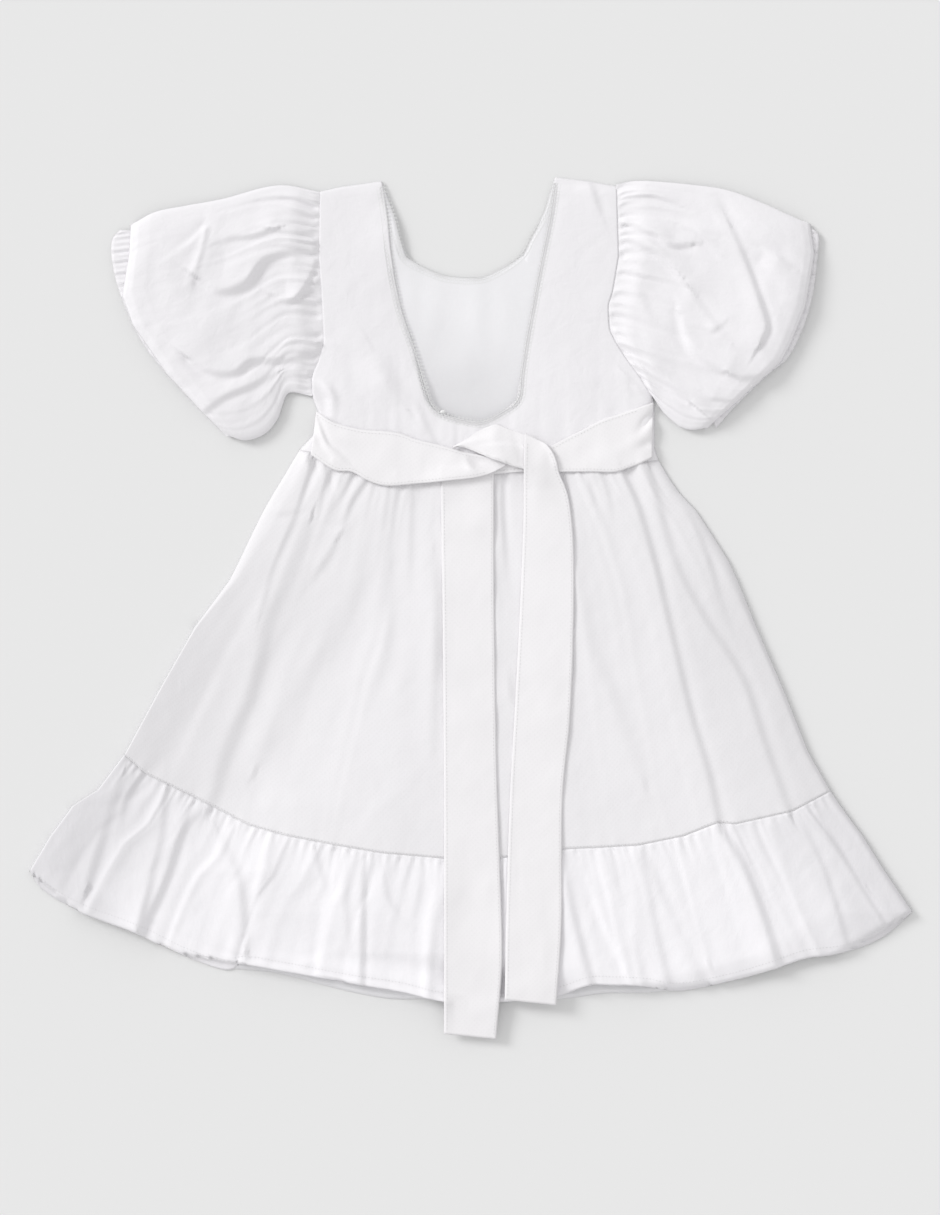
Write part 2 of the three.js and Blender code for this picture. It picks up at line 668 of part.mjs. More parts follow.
// A hanging tail: level across its width, and never steeper than the cloth bends.
function sashTail({ left, right }, rows) {
  const columns = 3;
  const [leftEdge, rightEdge] = [curveThrough(left), curveThrough(right)];
  const at = (i, j) => {
    const [a, b] = [leftEdge.getPointAt(1 - j / rows), rightEdge.getPointAt(1 - j / rows)];
    return { x: mix(a.x, b.x, i / columns), y: mix(a.y, b.y, i / columns) };
  };
  const levels = Array.from({ length: rows + 1 }, (_, j) => {
    const across = [0, 1, 2, 3].map((i) => at(i, j));
    return Math.max(...across.map(({ x, y }) => clearLevel(x, y)));
  });
  const step = Math.hypot(at(0, 0).x - at(0, 1).x, at(0, 0).y - at(0, 1).y) * SASH_SLOPE;
  for (let j = 1; j <= rows; j += 1) levels[j] = Math.max(levels[j], levels[j - 1] - step);
  for (let j = rows - 1; j >= 0; j -= 1) levels[j] = Math.max(levels[j], levels[j + 1] - step);
  const heights = new Map();
  const place = (i, j) => {
    const point = at(i, j);
    heights.set(`${point.x},${point.y}`, levels[j]);
    return point;
  };
  return wallGeometry({ columns, rows, place, floor: (x, y) => heights.get(`${x},${y}`) });
}

// Materials: white cotton, a little cooler on the plain pieces than on the figured ones.

function cotton(colour, roughness = 0.92) {
  return new THREE.MeshStandardMaterial({ color: colour, roughness, metalness: 0 });
}

function piece(name, geometry, colour) {
  const mesh = new THREE.Mesh(geometry, cotton(colour));
  mesh.name = name;
  return mesh;
}

const PLAIN = 0xf3f2f4;
const FIGURED = 0xf4f2f1;
const INSIDE = 0xededf0;
const LACE = 0xf1efec;

const dress = new THREE.Group();

dress.add(
  piece('front_bodice', frontBodice(), INSIDE),
  piece('front_skirt', skirtPanel({ columns: SEAM_COLUMNS / 2, rows: 4, tuck: FRONT_TUCK, floor: frontFloor }), INSIDE),
  piece('front_ruffle', rufflePanel({
    columns: SEAM_COLUMNS / 2, rows: 1, hem: FRONT_HEM, tuck: FRONT_TUCK, floor: frontFloor,
  }), INSIDE),
  piece('neck_lace_front', laceRibbon({ ...FRONT_GRID, floor: () => LACE_FLOOR }), LACE),

  piece('back_bodice', backBodice(), PLAIN),
  piece('back_skirt', skirtPanel({ columns: SEAM_COLUMNS, rows: 12, tuck: 0, floor: backFloor }), FIGURED),
  piece('back_ruffle', rufflePanel({ columns: 2 * SEAM_COLUMNS, rows: 4, hem: BACK_HEM, tuck: 0, floor: backFloor }), PLAIN),
  piece('neck_lace_back', laceRibbon({ ...BACK_GRID, floor: backFloor }), LACE),

  piece('sleeve_left', sleeve(LEFT_SLEEVE, leftSleeveFolds, -1), PLAIN),
  piece('sleeve_right', sleeve(RIGHT_SLEEVE, rightSleeveFolds, 1), PLAIN),
  piece('cuff_left', cuff(LEFT_SLEEVE, -1), PLAIN),
  piece('cuff_right', cuff(RIGHT_SLEEVE, 1), PLAIN),

  piece('sash_left', sashBand(SASH_LEFT, 12, 4, 0), FIGURED),
  piece('sash_right', sashBand(SASH_RIGHT, 9, 4, 0), FIGURED),
  piece('sash_knot', sashBand(SASH_KNOT, 10, 6, 5), FIGURED),
  piece('sash_tail_left', sashTail(TAIL_LEFT, 30), FIGURED),
  piece('sash_tail_right', sashTail(TAIL_RIGHT, 30), FIGURED),
);

// Centre the whole dress over the origin, resting on z = 0.
const bounds = new THREE.Box3().setFromObject(dress);
const middle = bounds.getCenter(new THREE.Vector3());
dress.position.set(-middle.x, -middle.y, -bounds.min.z);

export default dress;
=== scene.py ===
# Girl's white cotton dress with puff sleeves, laid flat with its back up.
# Tables are in millimetres from the photograph's middle, +X right, +Y towards the neck, +Z up.

import math

import bpy
import numpy as np
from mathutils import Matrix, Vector
from mathutils.bvhtree import BVHTree


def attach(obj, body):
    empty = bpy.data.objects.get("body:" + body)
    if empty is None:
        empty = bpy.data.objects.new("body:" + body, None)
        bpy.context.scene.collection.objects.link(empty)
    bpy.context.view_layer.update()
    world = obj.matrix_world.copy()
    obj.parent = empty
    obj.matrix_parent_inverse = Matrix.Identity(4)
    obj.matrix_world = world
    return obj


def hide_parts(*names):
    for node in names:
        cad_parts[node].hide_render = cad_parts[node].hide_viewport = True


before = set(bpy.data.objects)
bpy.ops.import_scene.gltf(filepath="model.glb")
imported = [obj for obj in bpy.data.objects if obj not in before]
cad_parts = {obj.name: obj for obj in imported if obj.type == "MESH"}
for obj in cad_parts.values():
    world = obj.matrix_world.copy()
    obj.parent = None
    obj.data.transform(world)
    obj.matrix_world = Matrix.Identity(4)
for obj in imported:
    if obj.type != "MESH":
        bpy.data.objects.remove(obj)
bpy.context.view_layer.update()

# Driving sizes, in millimetres

MM = 0.001
CAD_SHIFT = -0.5            # the solids' box is centred, half a millimetre to the left of the tables
CLOTH = 0.6                 # thickness of one layer
SASH_CLOTH = 0.9            # the sash is two layers pressed together
FRONT_LEVEL = 0.4           # underside of the front, on the surface
BACK_LEVEL = 2.2            # underside of the back where it lies on the front
BODY_LIFT = 4.5             # how far the back stands off the front
SIDE_ROUND = 16             # width over which a folded side rises
LACE_WIDTH = 5
LACE_INSET = 0.3            # how far the cloth stops short of a neck's edge
LACE_LAP = 1.4              # how much of the lace still lies on cloth where its holes show most
LACE_SHOWN = 24             # how far along the neck its holes show, and where they show most
BACK_LACE_SHOWN = (-27, 172)
FRONT_LACE_SHOWN = (44, 270)
RASTER = 2.0                # spacing of the height map that the sash lies on
RAY_START = 90.0            # height above everything, from which heights are looked up

SEED = 41                   # first seed of the uneven waves


# Curves and fields


def curve(points, count):
    """A smooth curve through points, as count + 1 points evenly spaced along it."""
    knots = np.array(points, dtype=float)
    ends = np.vstack([2 * knots[0] - knots[1], knots, 2 * knots[-1] - knots[-2]])
    pieces = []
    share = np.linspace(0, 1, 24, endpoint=False)[:, None]
    for k in range(len(knots) - 1):
        a, b, c, d = ends[k:k + 4]
        steps = [0.0]
        for p, q in ((a, b), (b, c), (c, d)):
            steps.append(steps[-1] + max(np.hypot(*(q - p)), 1e-6) ** 0.5)
        t0, t1, t2, t3 = steps
        t = t1 + share * (t2 - t1)
        ab = a + (b - a) * (t - t0) / (t1 - t0)
        bc = b + (c - b) * (t - t1) / (t2 - t1)
        cd = c + (d - c) * (t - t2) / (t3 - t2)
        abc = ab + (bc - ab) * (t - t0) / (t2 - t0)
        bcd = bc + (cd - bc) * (t - t1) / (t3 - t1)
        pieces.append(abc + (bcd - abc) * (t - t1) / (t2 - t1))
    fine = np.vstack(pieces + [knots[-1:]])
    return evenly(fine, count)


def run_of(points):
    """The distance along a path at each of its points."""
    return np.concatenate([[0], np.cumsum(np.hypot(*np.diff(points, axis=0).T))])


def evenly(points, count):
    """The same path as count + 1 points evenly spaced along it."""
    run = run_of(points)
    at = np.linspace(0, run[-1], count + 1)
    return np.column_stack([np.interp(at, run, points[:, axis]) for axis in (0, 1)])


def smooth(value, low, high):
    """A soft step from 0 at low to 1 at high."""
    share = np.clip((value - low) / (high - low), 0, 1)
    return share * share * (3 - 2 * share)


def mix(a, b, share):
    return a + (b - a) * share


def noise_line(seed, pitch, length):
    """A smooth uneven wave along a line, from about -1 to 1, with one swing every pitch or so."""
    random = np.random.RandomState(seed)
    count = int(length / pitch * 2) + 4
    at = np.cumsum(random.uniform(0.6, 1.4, count)) * pitch / 2
    swing = random.uniform(0.45, 1.0, count) * np.where(np.arange(count) % 2, 1, -1)
    fine = np.linspace(at[0], at[-1], count * 16)
    index = np.clip(np.searchsorted(at, fine) - 1, 0, count - 2)
    share = (fine - at[index]) / (at[index + 1] - at[index])
    wave = swing[index] + (swing[index + 1] - swing[index]) * (1 - np.cos(math.pi * share)) / 2

    def height(q):
        return np.interp(np.mod(q, at[-1] - at[0]) + at[0], fine, wave)

    return height


def noise_field(seed, pitch_x, pitch_y, lean=0.0):
    """A smooth uneven surface, from about -1 to 1, stretched along one direction."""
    random = np.random.RandomState(seed)
    side = 64
    grid = random.uniform(-1, 1, (side, side))

    def height(x, y):
        gx = np.mod((x + lean * y) / pitch_x, side)
        gy = np.mod(y / pitch_y, side)
        ix, iy = gx.astype(int), gy.astype(int)
        fx, fy = gx - ix, gy - iy
        fx, fy = fx * fx * (3 - 2 * fx), fy * fy * (3 - 2 * fy)
        jx, jy = (ix + 1) % side, (iy + 1) % side
        top = mix(grid[ix % side, iy % side], grid[jx, iy % side], fx)
        bottom = mix(grid[ix % side, jy], grid[jx, jy], fx)
        return mix(top, bottom, fy)

    return height


def along_path(x, y, path):
    """Distance from each point to a path, its share along it and the side that it is on."""
    nearest = np.full(x.shape, 1e9)
    share = np.zeros(x.shape)
    side = np.ones(x.shape)
    last = len(path) - 1
    for k in range(last):
        (ax, ay), (bx, by) = path[k], path[k + 1]
        dx, dy = bx - ax, by - ay
        t = np.clip(((x - ax) * dx + (y - ay) * dy) / (dx * dx + dy * dy), 0, 1)
        distance = np.hypot(x - ax - t * dx, y - ay - t * dy)
        closer = distance < nearest
        nearest = np.where(closer, distance, nearest)
        share = np.where(closer, (k + t) / last, share)
        side = np.where(closer, np.sign(dx * (y - ay) - dy * (x - ax)), side)
    return nearest, share, side


LEFT, RIGHT, BOTH = 1, -1, 0


def fold_field(x, y, folds, strength=1.0, spread=1.0):
    """The rise that folds give. Each row is: path, high side, sharp width, soft width, and the
    rise at the path's start, middle and end. A fold with a high side is a step: the cloth stands
    high on that side of the path and drops sharply to the other. One with BOTH is a soft ridge,
    or a hollow where its rise is below 0. Sides are those of someone going along the path."""
    total = np.zeros(x.shape)
    for path, high, sharp, soft, rises in folds:
        sharp, soft, rises = sharp * spread, soft * (1 + spread) / 2, np.array(rises) * strength
        line = curve(path, 24)
        reach = soft * 2.4 + sharp
        low, top = line.min(axis=0) - reach, line.max(axis=0) + reach
        near = (x > low[0]) & (x < top[0]) & (y > low[1]) & (y < top[1])
        if not near.any():
            continue
        distance, share, side = along_path(x[near], y[near], line)
        rise = np.interp(share, (0, 0.5, 1), rises)
        if high == BOTH:
            total[near] += rise * np.exp(-(distance / soft) ** 2)
            continue
        signed = distance * side * high
        step = smooth(signed, -sharp, sharp)
        fade = np.exp(-(np.maximum(signed, 0) / soft) ** 2)
        groove = -0.3 * np.exp(-((signed + sharp * 1.3) / (sharp * 1.2)) ** 2)
        beyond = np.exp(-(np.maximum(distance - np.abs(signed), 0)) ** 2)
        total[near] += rise * (step * fade + groove) * beyond
    return total


# The dress's outline

BODY_SIDES = np.array([
    # y, left, right
    [340, -113, 110],
    [316, -114, 111],
    [267, -115, 112.5],
    [240, -113, 108],
    [230, -112.5, 104.5],
    [211, -111.5, 105.5],
    [202, -111, 110],
    [188, -115, 119],
    [175, -120.5, 129],
    [160, -120, 138.5],
    [148, -115.5, 140],
    [131, -119.5, 140],
    [121, -129, 140],
    [112, -134.5, 143],
    [100, -141.5, 150],
    [88, -149, 158],
    [74, -157, 171.5],
    [58, -165, 182],
    [36, -175.5, 196],
    [21, -183, 203],
    [-14, -209, 217],
    [-60, -235, 237],
    [-110, -262, 257],
    [-138, -283, 273],
    [-150, -302, 281],
    [-173, -319, 298],
    [-200, -335, 315],
    [-231, -297, 336],
    [-262, -220, 283],
    [-284, -96, 196],
    [-300, -22, 22],
])[::-1]

WAIST = [(-130, 120), (-107, 114), (-76, 105), (-23, 102), (22, 105), (68, 108), (114, 109), (143, 112)]

RUFFLE_SEAM = [
    (-264, -111), (-246, -126), (-209, -144), (-199, -149), (-168, -165), (-139, -173), (-102, -180),
    (-66, -186), (-20, -190), (22, -190), (70, -183), (94, -182), (128, -180), (162, -173), (187, -163),
    (201, -164), (245, -154), (273, -139),
]

BACK_HEM = [
    (-335, -200), (-326, -213), (-300, -229), (-253, -247), (-218, -264), (-183, -275), (-175, -271),
    (-139, -276), (-96, -284), (-52, -291), (-22, -298), (22, -299), (68, -294), (91, -286), (108, -286),
    (132, -287), (155, -291), (196, -284), (233, -273), (254, -266), (283, -262), (312, -251), (336, -231),
]

FRONT_HEM = [
    (-331, -200), (-322, -211), (-253, -244), (-190, -272), (-150, -277), (-110, -287), (-85, -293),
    (-60, -297), (-30, -297), (30, -296), (70, -297), (100, -293), (140, -292), (160, -288), (196, -280),
    (254, -262), (312, -248), (333, -230),
]

BACK_NECK = {
    "left": [(-67, 324), (-63, 298), (-60, 270), (-57, 249), (-52, 226), (-42, 197), (-35, 174), (-28, 154),
             (-21, 148)],
    "bottom": [(-21, 148), (-3, 143), (9, 142), (25, 150), (35, 158)],
    "right": [(35, 158), (38, 179), (42, 205), (47, 232), (51, 253), (57, 283), (60, 298), (64, 327)],
}
FRONT_NECK = {
    "left": [(-67, 324), (-62, 310), (-57, 295), (-53, 279), (-48, 266)],
    "bottom": [(-48, 266), (-36, 259), (-21, 253), (-5, 251), (10, 252), (24, 259), (38, 270)],
    "right": [(38, 270), (45, 283), (55, 300), (60, 315), (64, 327)],
}

SHOULDERS = {"left": [(-114, 316), (-96, 320)], "right": [(92, 323.5), (110.5, 320)]}

# The main folds of the skirt and bodice

BODY_FOLDS = [
    # path, high side, sharp width, soft width, rise at start, middle and end
    # Left side of the skirt, from the waist down
    (((-120, 112), (-131, 74), (-142, 48), (-151, 26), (-159, -4)), RIGHT, 2.0, 11, (2.5, 3.5, 1.0)),
    (((-123, 63), (-138, 22), (-151, -6), (-159, -39), (-168, -72), (-183, -104), (-196, -150)),
     RIGHT, 5.0, 12, (3.0, 4.2, 3.4)),
    (((-157, 76), (-145, 71), (-131, 73)), LEFT, 1.6, 8, (2.0, 2.2, 0.8)),
    (((-111, 61), (-101, 59), (-94, 65)), RIGHT, 1.4, 5, (0.6, 1.6, 0.6)),
    (((-103, 48), (-111, 34), (-122, 18)), RIGHT, 2.4, 9, (2.0, 3.0, 0.5)),
    (((-79, 97), (-90, 80), (-97, 60)), RIGHT, 1.8, 8, (3.6, 3.2, 0.5)),
    (((-88, 104), (-96, 88), (-104, 76)), RIGHT, 1.6, 6, (2.6, 2.0, 0.3)),
    (((-103, 109), (-111, 92), (-115, 72)), RIGHT, 1.6, 6, (2.8, 2.2, 0.6)),
    (((-73, 72), (-90, 4), (-129, -61), (-159, -116)), RIGHT, 7.0, 17, (0.6, 2.6, 2.4)),
    (((-84, 40), (-112, -30), (-150, -96)), BOTH, 3, 14, (0.5, 1.6, 1.0)),
    (((-60, 26), (-63, -28), (-77, -72)), RIGHT, 4.0, 11, (0.8, 3.0, 0.6)),
    (((-62, 90), (-66, 62), (-70, 36)), RIGHT, 2.0, 6, (1.6, 1.2, 0.4)),
    (((-44, 88), (-45, 60), (-46, 20)), RIGHT, 2.0, 7, (1.8, 1.4, 0.4)),
    (((-27, 40), (-25, -18), (-28, -104)), RIGHT, 3.0, 9, (1.4, 3.2, 1.0)),
    (((-50, -40), (-58, -110), (-66, -180)), BOTH, 3, 16, (0.3, 1.4, 1.8)),
    # Right side of the skirt
    (((68, 104), (73, 80), (79, 48)), BOTH, 2, 4.5, (-3.0, -2.2, -0.4)),
    (((79, 60), (84, 26), (95, -35), (112, -72), (130, -126)), RIGHT, 5.0, 13, (0.6, 2.6, 1.8)),
    (((84, 100), (92, 84), (98, 64)), RIGHT, 1.8, 6, (2.2, 1.6, 0.3)),
    (((98, 103), (104, 88), (108, 66)), RIGHT, 1.8, 6, (2.4, 1.8, 0.3)),
    (((115, 105), (125, 83), (138, 42), (147, 4), (160, -50), (168, -83), (181, -126), (188, -160)),
     RIGHT, 2.4, 15, (5.0, 4.5, 3.6)),
    (((136, 104), (155, 37), (173, 0), (193, -31), (208, -56), (223, -101), (241, -152)),
     RIGHT, 2.8, 12, (3.0, 3.6, 2.8)),
    (((152, 96), (162, 80), (178, 44), (190, 4), (201, -26)), RIGHT, 2.4, 9, (1.0, 2.6, 0.4)),
    (((150, 20), (176, -50), (206, -120)), BOTH, 3, 13, (0.4, 1.6, 1.2)),
    # Crinkled gathers at the waist's left corner
    (((-130, 120), (-125, 113), (-122, 104)), BOTH, 1.4, 2.4, (2.4, 3.6, 0.8)),
    (((-126, 122), (-120, 115), (-115, 104)), BOTH, 1.4, 2.2, (-2.0, -3.2, -0.6)),
    (((-122, 118), (-115, 112), (-108, 98)), BOTH, 1.4, 2.4, (2.0, 3.0, 0.6)),
    (((-108, 106), (-106, 96), (-103, 84)), BOTH, 1.4, 2.6, (-2.0, -2.6, -0.4)),
    # The hollow between the two tails
    (((29, 96), (27, 20), (27, -48)), BOTH, 4, 11, (-2.8, -2.2, -0.6)),
    (((24, 98), (25, 60), (27, 20)), RIGHT, 1.6, 5, (2.6, 2.2, 0.4)),
    (((29, -50), (31, -64), (33, -80)), RIGHT, 1.4, 4, (0.6, 1.8, 0.4)),
    # Bodice
    (((-114, 203), (-106, 203), (-97, 200)), RIGHT, 1.4, 5, (1.8, 1.4, 0.2)),
    (((-119, 172), (-111, 168), (-105, 160), (-105, 150)), BOTH, 2.0, 3.6, (3.0, 5.0, 3.0)),
    (((-117, 161), (-112, 156), (-110, 149)), BOTH, 2, 4.6, (-5.0, -6.0, -4.0)),
    (((-119, 150), (-113, 146), (-106, 145)), BOTH, 2, 2.6, (1.6, 2.4, 1.0)),
    (((-108, 190), (-96, 166), (-78, 140)), BOTH, 3, 10, (1.0, 1.8, 0.8)),
    (((118, 178), (127, 168), (137, 156)), RIGHT, 1.6, 6, (1.4, 2.2, 1.0)),
    (((122, 170), (126, 162), (139, 158)), BOTH, 1.6, 3, (-1.6, -2.0, -1.0)),
    (((92, 322), (97, 306), (105, 286)), RIGHT, 2.4, 9, (2.0, 1.6, 0.3)),
    (((60, 190), (78, 170), (86, 145)), BOTH, 3, 14, (0.3, 1.4, 0.6)),
    (((-72, 194), (-60, 174), (-50, 156)), RIGHT, 7.0, 18, (0.8, 6.0, 1.0)),
    (((-38, 150), (-33, 138), (-26, 124)), RIGHT, 1.8, 7, (1.0, 1.6, 1.0)),
]

# The ruffle's folds, from its seam to its hem

RUFFLE_FOLDS = [
    (((-264, -128), (-274, -160), (-289, -208)), RIGHT, 3.4, 12, (2.0, 4.0, 5.0)),
    (((-252, -122), (-262, -150), (-268, -180)), RIGHT, 2.4, 8, (2.0, 2.4, 0.4)),
    (((-231, -140), (-234, -172), (-242, -205), (-251, -243)), RIGHT, 2.6, 11, (2.0, 3.6, 5.5)),
    (((-212, -150), (-222, -176), (-240, -196)), RIGHT, 2.2, 7, (1.8, 2.4, 0.4)),
    (((-202, -152), (-216, -167), (-231, -206), (-251, -252)), RIGHT, 2.6, 13, (4.0, 6.0, 7.0)),
    (((-190, -172), (-175, -206), (-170, -256)), RIGHT, 3.0, 11, (1.6, 4.0, 4.0)),
    (((-155, -180), (-162, -210), (-170, -246)), LEFT, 3.0, 12, (1.5, 3.6, 3.2)),
    (((-151, -272), (-138, -272), (-124, -268), (-108, -260)), RIGHT, 2.4, 8, (0.6, 2.0, 0.6)),
    (((-117, -186), (-112, -204), (-108, -216)), RIGHT, 2.0, 8, (2.0, 2.2, 0.4)),
    (((-92, -190), (-94, -220), (-92, -252)), RIGHT, 2.6, 10, (1.6, 3.0, 1.6)),
    (((-80, -192), (-81, -230), (-82, -286)), RIGHT, 1.6, 9, (2.2, 4.2, 5.0)),
    (((-66, -200), (-62, -220), (-54, -232), (-42, -238)), RIGHT, 2.0, 8, (1.4, 2.4, 0.8)),
    (((-36, -196), (-38, -216), (-42, -240)), RIGHT, 2.2, 8, (1.6, 2.2, 0.6)),
    (((-30, -230), (-34, -262), (-34, -296)), BOTH, 3, 10, (0.4, 2.4, 3.0)),
    (((70, -190), (78, -230), (92, -284)), RIGHT, 2.4, 9, (1.6, 4.0, 6.0)),
    (((90, -210), (101, -240), (114, -270)), LEFT, 2.4, 9, (1.2, 3.6, 3.0)),
    (((106, -186), (110, -206), (116, -226)), RIGHT, 2.0, 7, (2.0, 2.2, 0.4)),
    (((150, -182), (160, -215), (179, -264)), RIGHT, 4.0, 12, (1.6, 3.0, 3.0)),
    (((132, -184), (142, -210), (156, -240)), RIGHT, 3.0, 9, (1.6, 2.4, 0.8)),
    (((190, -166), (206, -192), (221, -230), (235, -274)), RIGHT, 2.8, 14, (4.0, 6.5, 8.0)),
    (((212, -162), (224, -188), (240, -218)), RIGHT, 2.2, 8, (1.8, 2.4, 0.6)),
    (((247, -156), (267, -196), (286, -256)), RIGHT, 2.0, 9, (2.0, 2.6, 2.6)),
    (((260, -150), (278, -180), (298, -208)), RIGHT, 3.0, 10, (2.0, 3.6, 1.6)),
    (((272, -214), (290, -232), (312, -246)), BOTH, 3, 9, (0.4, 1.8, 2.4)),
]

# The sleeves: each outline's edges, and its folds

LEFT_SLEEVE = {
    "side": "left",
    "end": [(-258, 290), (-259, 268), (-264, 236), (-256, 214), (-246, 200), (-230, 177), (-202, 147),
            (-185, 131)],
    "shoulder": [(-114, 316), (-145, 321), (-190, 310), (-217, 305), (-240, 300), (-258, 290)],
    "underarm": [(-120, 161), (-138, 163), (-143, 153), (-146, 144), (-156, 132), (-171, 127), (-185, 131)],
    "cuff_end": [(-266, 287), (-272, 279), (-271, 257), (-263, 231), (-248, 200), (-231, 178.5), (-204, 152),
                 (-190, 139)],
    "cuff_start": [(-246, 286), (-246, 262), (-246, 240), (-236, 215), (-226, 200), (-214, 182), (-194, 158),
                   (-182, 145)],
}
LEFT_SLEEVE_FOLDS = [
    (((-116, 296), (-130, 301), (-147, 305)), RIGHT, 1.4, 6, (2.2, 2.2, 0.4)),
    (((-116, 307), (-136, 311), (-160, 309)), RIGHT, 1.4, 5, (1.4, 1.6, 0.4)),
    (((-151, 286), (-166, 281), (-178, 280), (-191, 276)), RIGHT, 1.8, 10, (3.2, 3.8, 1.0)),
    (((-118, 286), (-132, 284), (-151, 287)), RIGHT, 1.4, 6, (1.6, 2.0, 2.4)),
    (((-116, 269), (-139, 269), (-158, 261), (-170, 245), (-189, 239), (-204, 248)), RIGHT, 2.6, 16,
     (3.0, 7.0, 3.6)),
    (((-117, 260), (-127, 240), (-138, 231), (-149, 236)), RIGHT, 1.6, 9, (2.4, 4.4, 2.0)),
    (((-118, 244), (-130, 236), (-143, 231)), RIGHT, 1.2, 5, (1.6, 2.2, 0.5)),
    (((-118, 207), (-132, 202), (-150, 198)), RIGHT, 2.0, 8, (0.8, 1.8, 0.4)),
    (((-116, 193), (-147, 187), (-166, 187), (-178, 178), (-197, 178), (-211, 187)), RIGHT, 2.4, 15,
     (2.4, 5.4, 4.0)),
    (((-147, 178), (-166, 168), (-185, 160), (-203, 147)), RIGHT, 2.2, 11, (1.0, 3.8, 2.2)),
    (((-226, 268), (-212, 278), (-200, 289), (-204, 268), (-209, 248)), RIGHT, 1.8, 9, (0.8, 2.4, 1.0)),
    (((-199, 300), (-203, 276), (-214, 250)), LEFT, 2.2, 10, (0.4, 2.2, 0.6)),
    (((-226, 226), (-205, 216), (-176, 200)), BOTH, 3, 14, (1.0, 3.0, 1.0)),
    (((-238, 270), (-240, 246), (-236, 222)), BOTH, 3, 8, (-0.5, -1.8, -0.5)),
    (((-136, 205), (-168, 216), (-196, 222)), BOTH, 3, 12, (0.8, 2.6, 1.2)),
]

RIGHT_SLEEVE = {
    "side": "right",
    "end": [(258, 291), (261, 268), (254, 228), (243, 200), (236, 187), (224, 176), (196, 151), (180, 137)],
    "shoulder": [(111, 321), (123, 324), (169, 321), (195, 317), (222, 307), (244, 297), (258, 291)],
    "underarm": [(138.5, 160), (146, 149), (152, 143), (160, 137), (169, 135), (180, 137)],
    "cuff_end": [(259, 288), (264, 284), (263.5, 267), (257, 226), (241, 190), (227, 178), (200, 152),
                 (187, 137)],
    "cuff_start": [(243, 282), (245, 262), (238, 232), (224, 202), (212, 188), (194, 168), (180, 154)],
}
RIGHT_SLEEVE_FOLDS = [
    (((114, 311), (124, 312), (139, 312), (158, 305)), LEFT, 1.4, 7, (3.0, 4.6, 1.2)),
    (((116, 303), (140, 303), (166, 297)), LEFT, 1.6, 6, (1.4, 1.8, 0.4)),
    (((119, 290), (139, 283), (152, 274), (166, 275)), LEFT, 1.8, 8, (3.6, 6.0, 3.0)),
    (((158, 290), (174, 282), (186, 270)), LEFT, 1.6, 8, (1.0, 3.8, 1.4)),
    (((115, 279), (134, 273), (146, 264), (163, 246)), LEFT, 2.0, 11, (3.8, 6.6, 4.4)),
    (((163, 247), (181, 221), (197, 202)), RIGHT, 2.0, 11, (2.0, 2.6, 0.8)),
    (((117, 268), (124, 262), (131, 256)), LEFT, 1.2, 5, (1.8, 2.4, 0.6)),
    (((116, 258), (124, 252), (130, 244)), LEFT, 1.2, 5, (1.6, 2.0, 0.6)),
    (((198, 287), (209, 262), (219, 234), (225, 212), (221, 203)), RIGHT, 2.0, 13, (2.0, 4.6, 4.2)),
    (((213, 268), (219, 263), (222, 256)), BOTH, 2, 5, (-1.6, -3.6, -1.0)),
    (((222, 270), (233, 266), (244, 258)), RIGHT, 2.6, 10, (1.6, 4.0, 1.0)),
    (((110, 208), (119, 197), (127, 191), (146, 173), (166, 156)), LEFT, 2.4, 13, (2.6, 7.0, 4.4)),
    (((110, 206), (118, 190), (125, 177)), LEFT, 1.6, 6, (1.0, 2.2, 0.4)),
    (((158, 222), (161, 208), (166, 197), (177, 187), (190, 180)), LEFT, 2.4, 11, (2.0, 5.6, 3.8)),
    (((168, 184), (194, 177), (207, 174), (221, 175)), LEFT, 2.0, 11, (1.0, 4.0, 2.4)),
    (((175, 212), (184, 210), (192, 215)), LEFT, 1.6, 8, (0.8, 2.4, 0.8)),
    (((175, 163), (184, 158), (194, 157)), LEFT, 1.8, 7, (1.0, 2.8, 1.0)),
    (((127, 246), (135, 226), (146, 214)), RIGHT, 2.6, 9, (0.6, 2.0, 0.6)),
    (((190, 313), (196, 300), (204, 292)), BOTH, 2, 5, (-1.0, -2.6, -0.8)),
    (((205, 300), (222, 285), (246, 274)), BOTH, 3, 10, (0.6, 2.4, 1.0)),
    (((236, 252), (244, 236), (243, 214)), BOTH, 3, 9, (0.6, 2.6, 0.8)),
]

# A puff's height along its middle, from the armhole to its end
PUFF = {"along": (0, 0.05, 0.12, 0.24, 0.40, 0.60, 0.76, 0.88, 0.95, 0.985, 1.0),
        "left": (4, 6.2, 7.4, 8.2, 9.2, 10.6, 12.2, 13.0, 12.2, 10.0, 6.4),
        "right": (4, 6.0, 7.3, 8.4, 9.6, 11.1, 12.2, 12.4, 11.6, 9.8, 6.6)}

# The sash, each strip by its two long edges

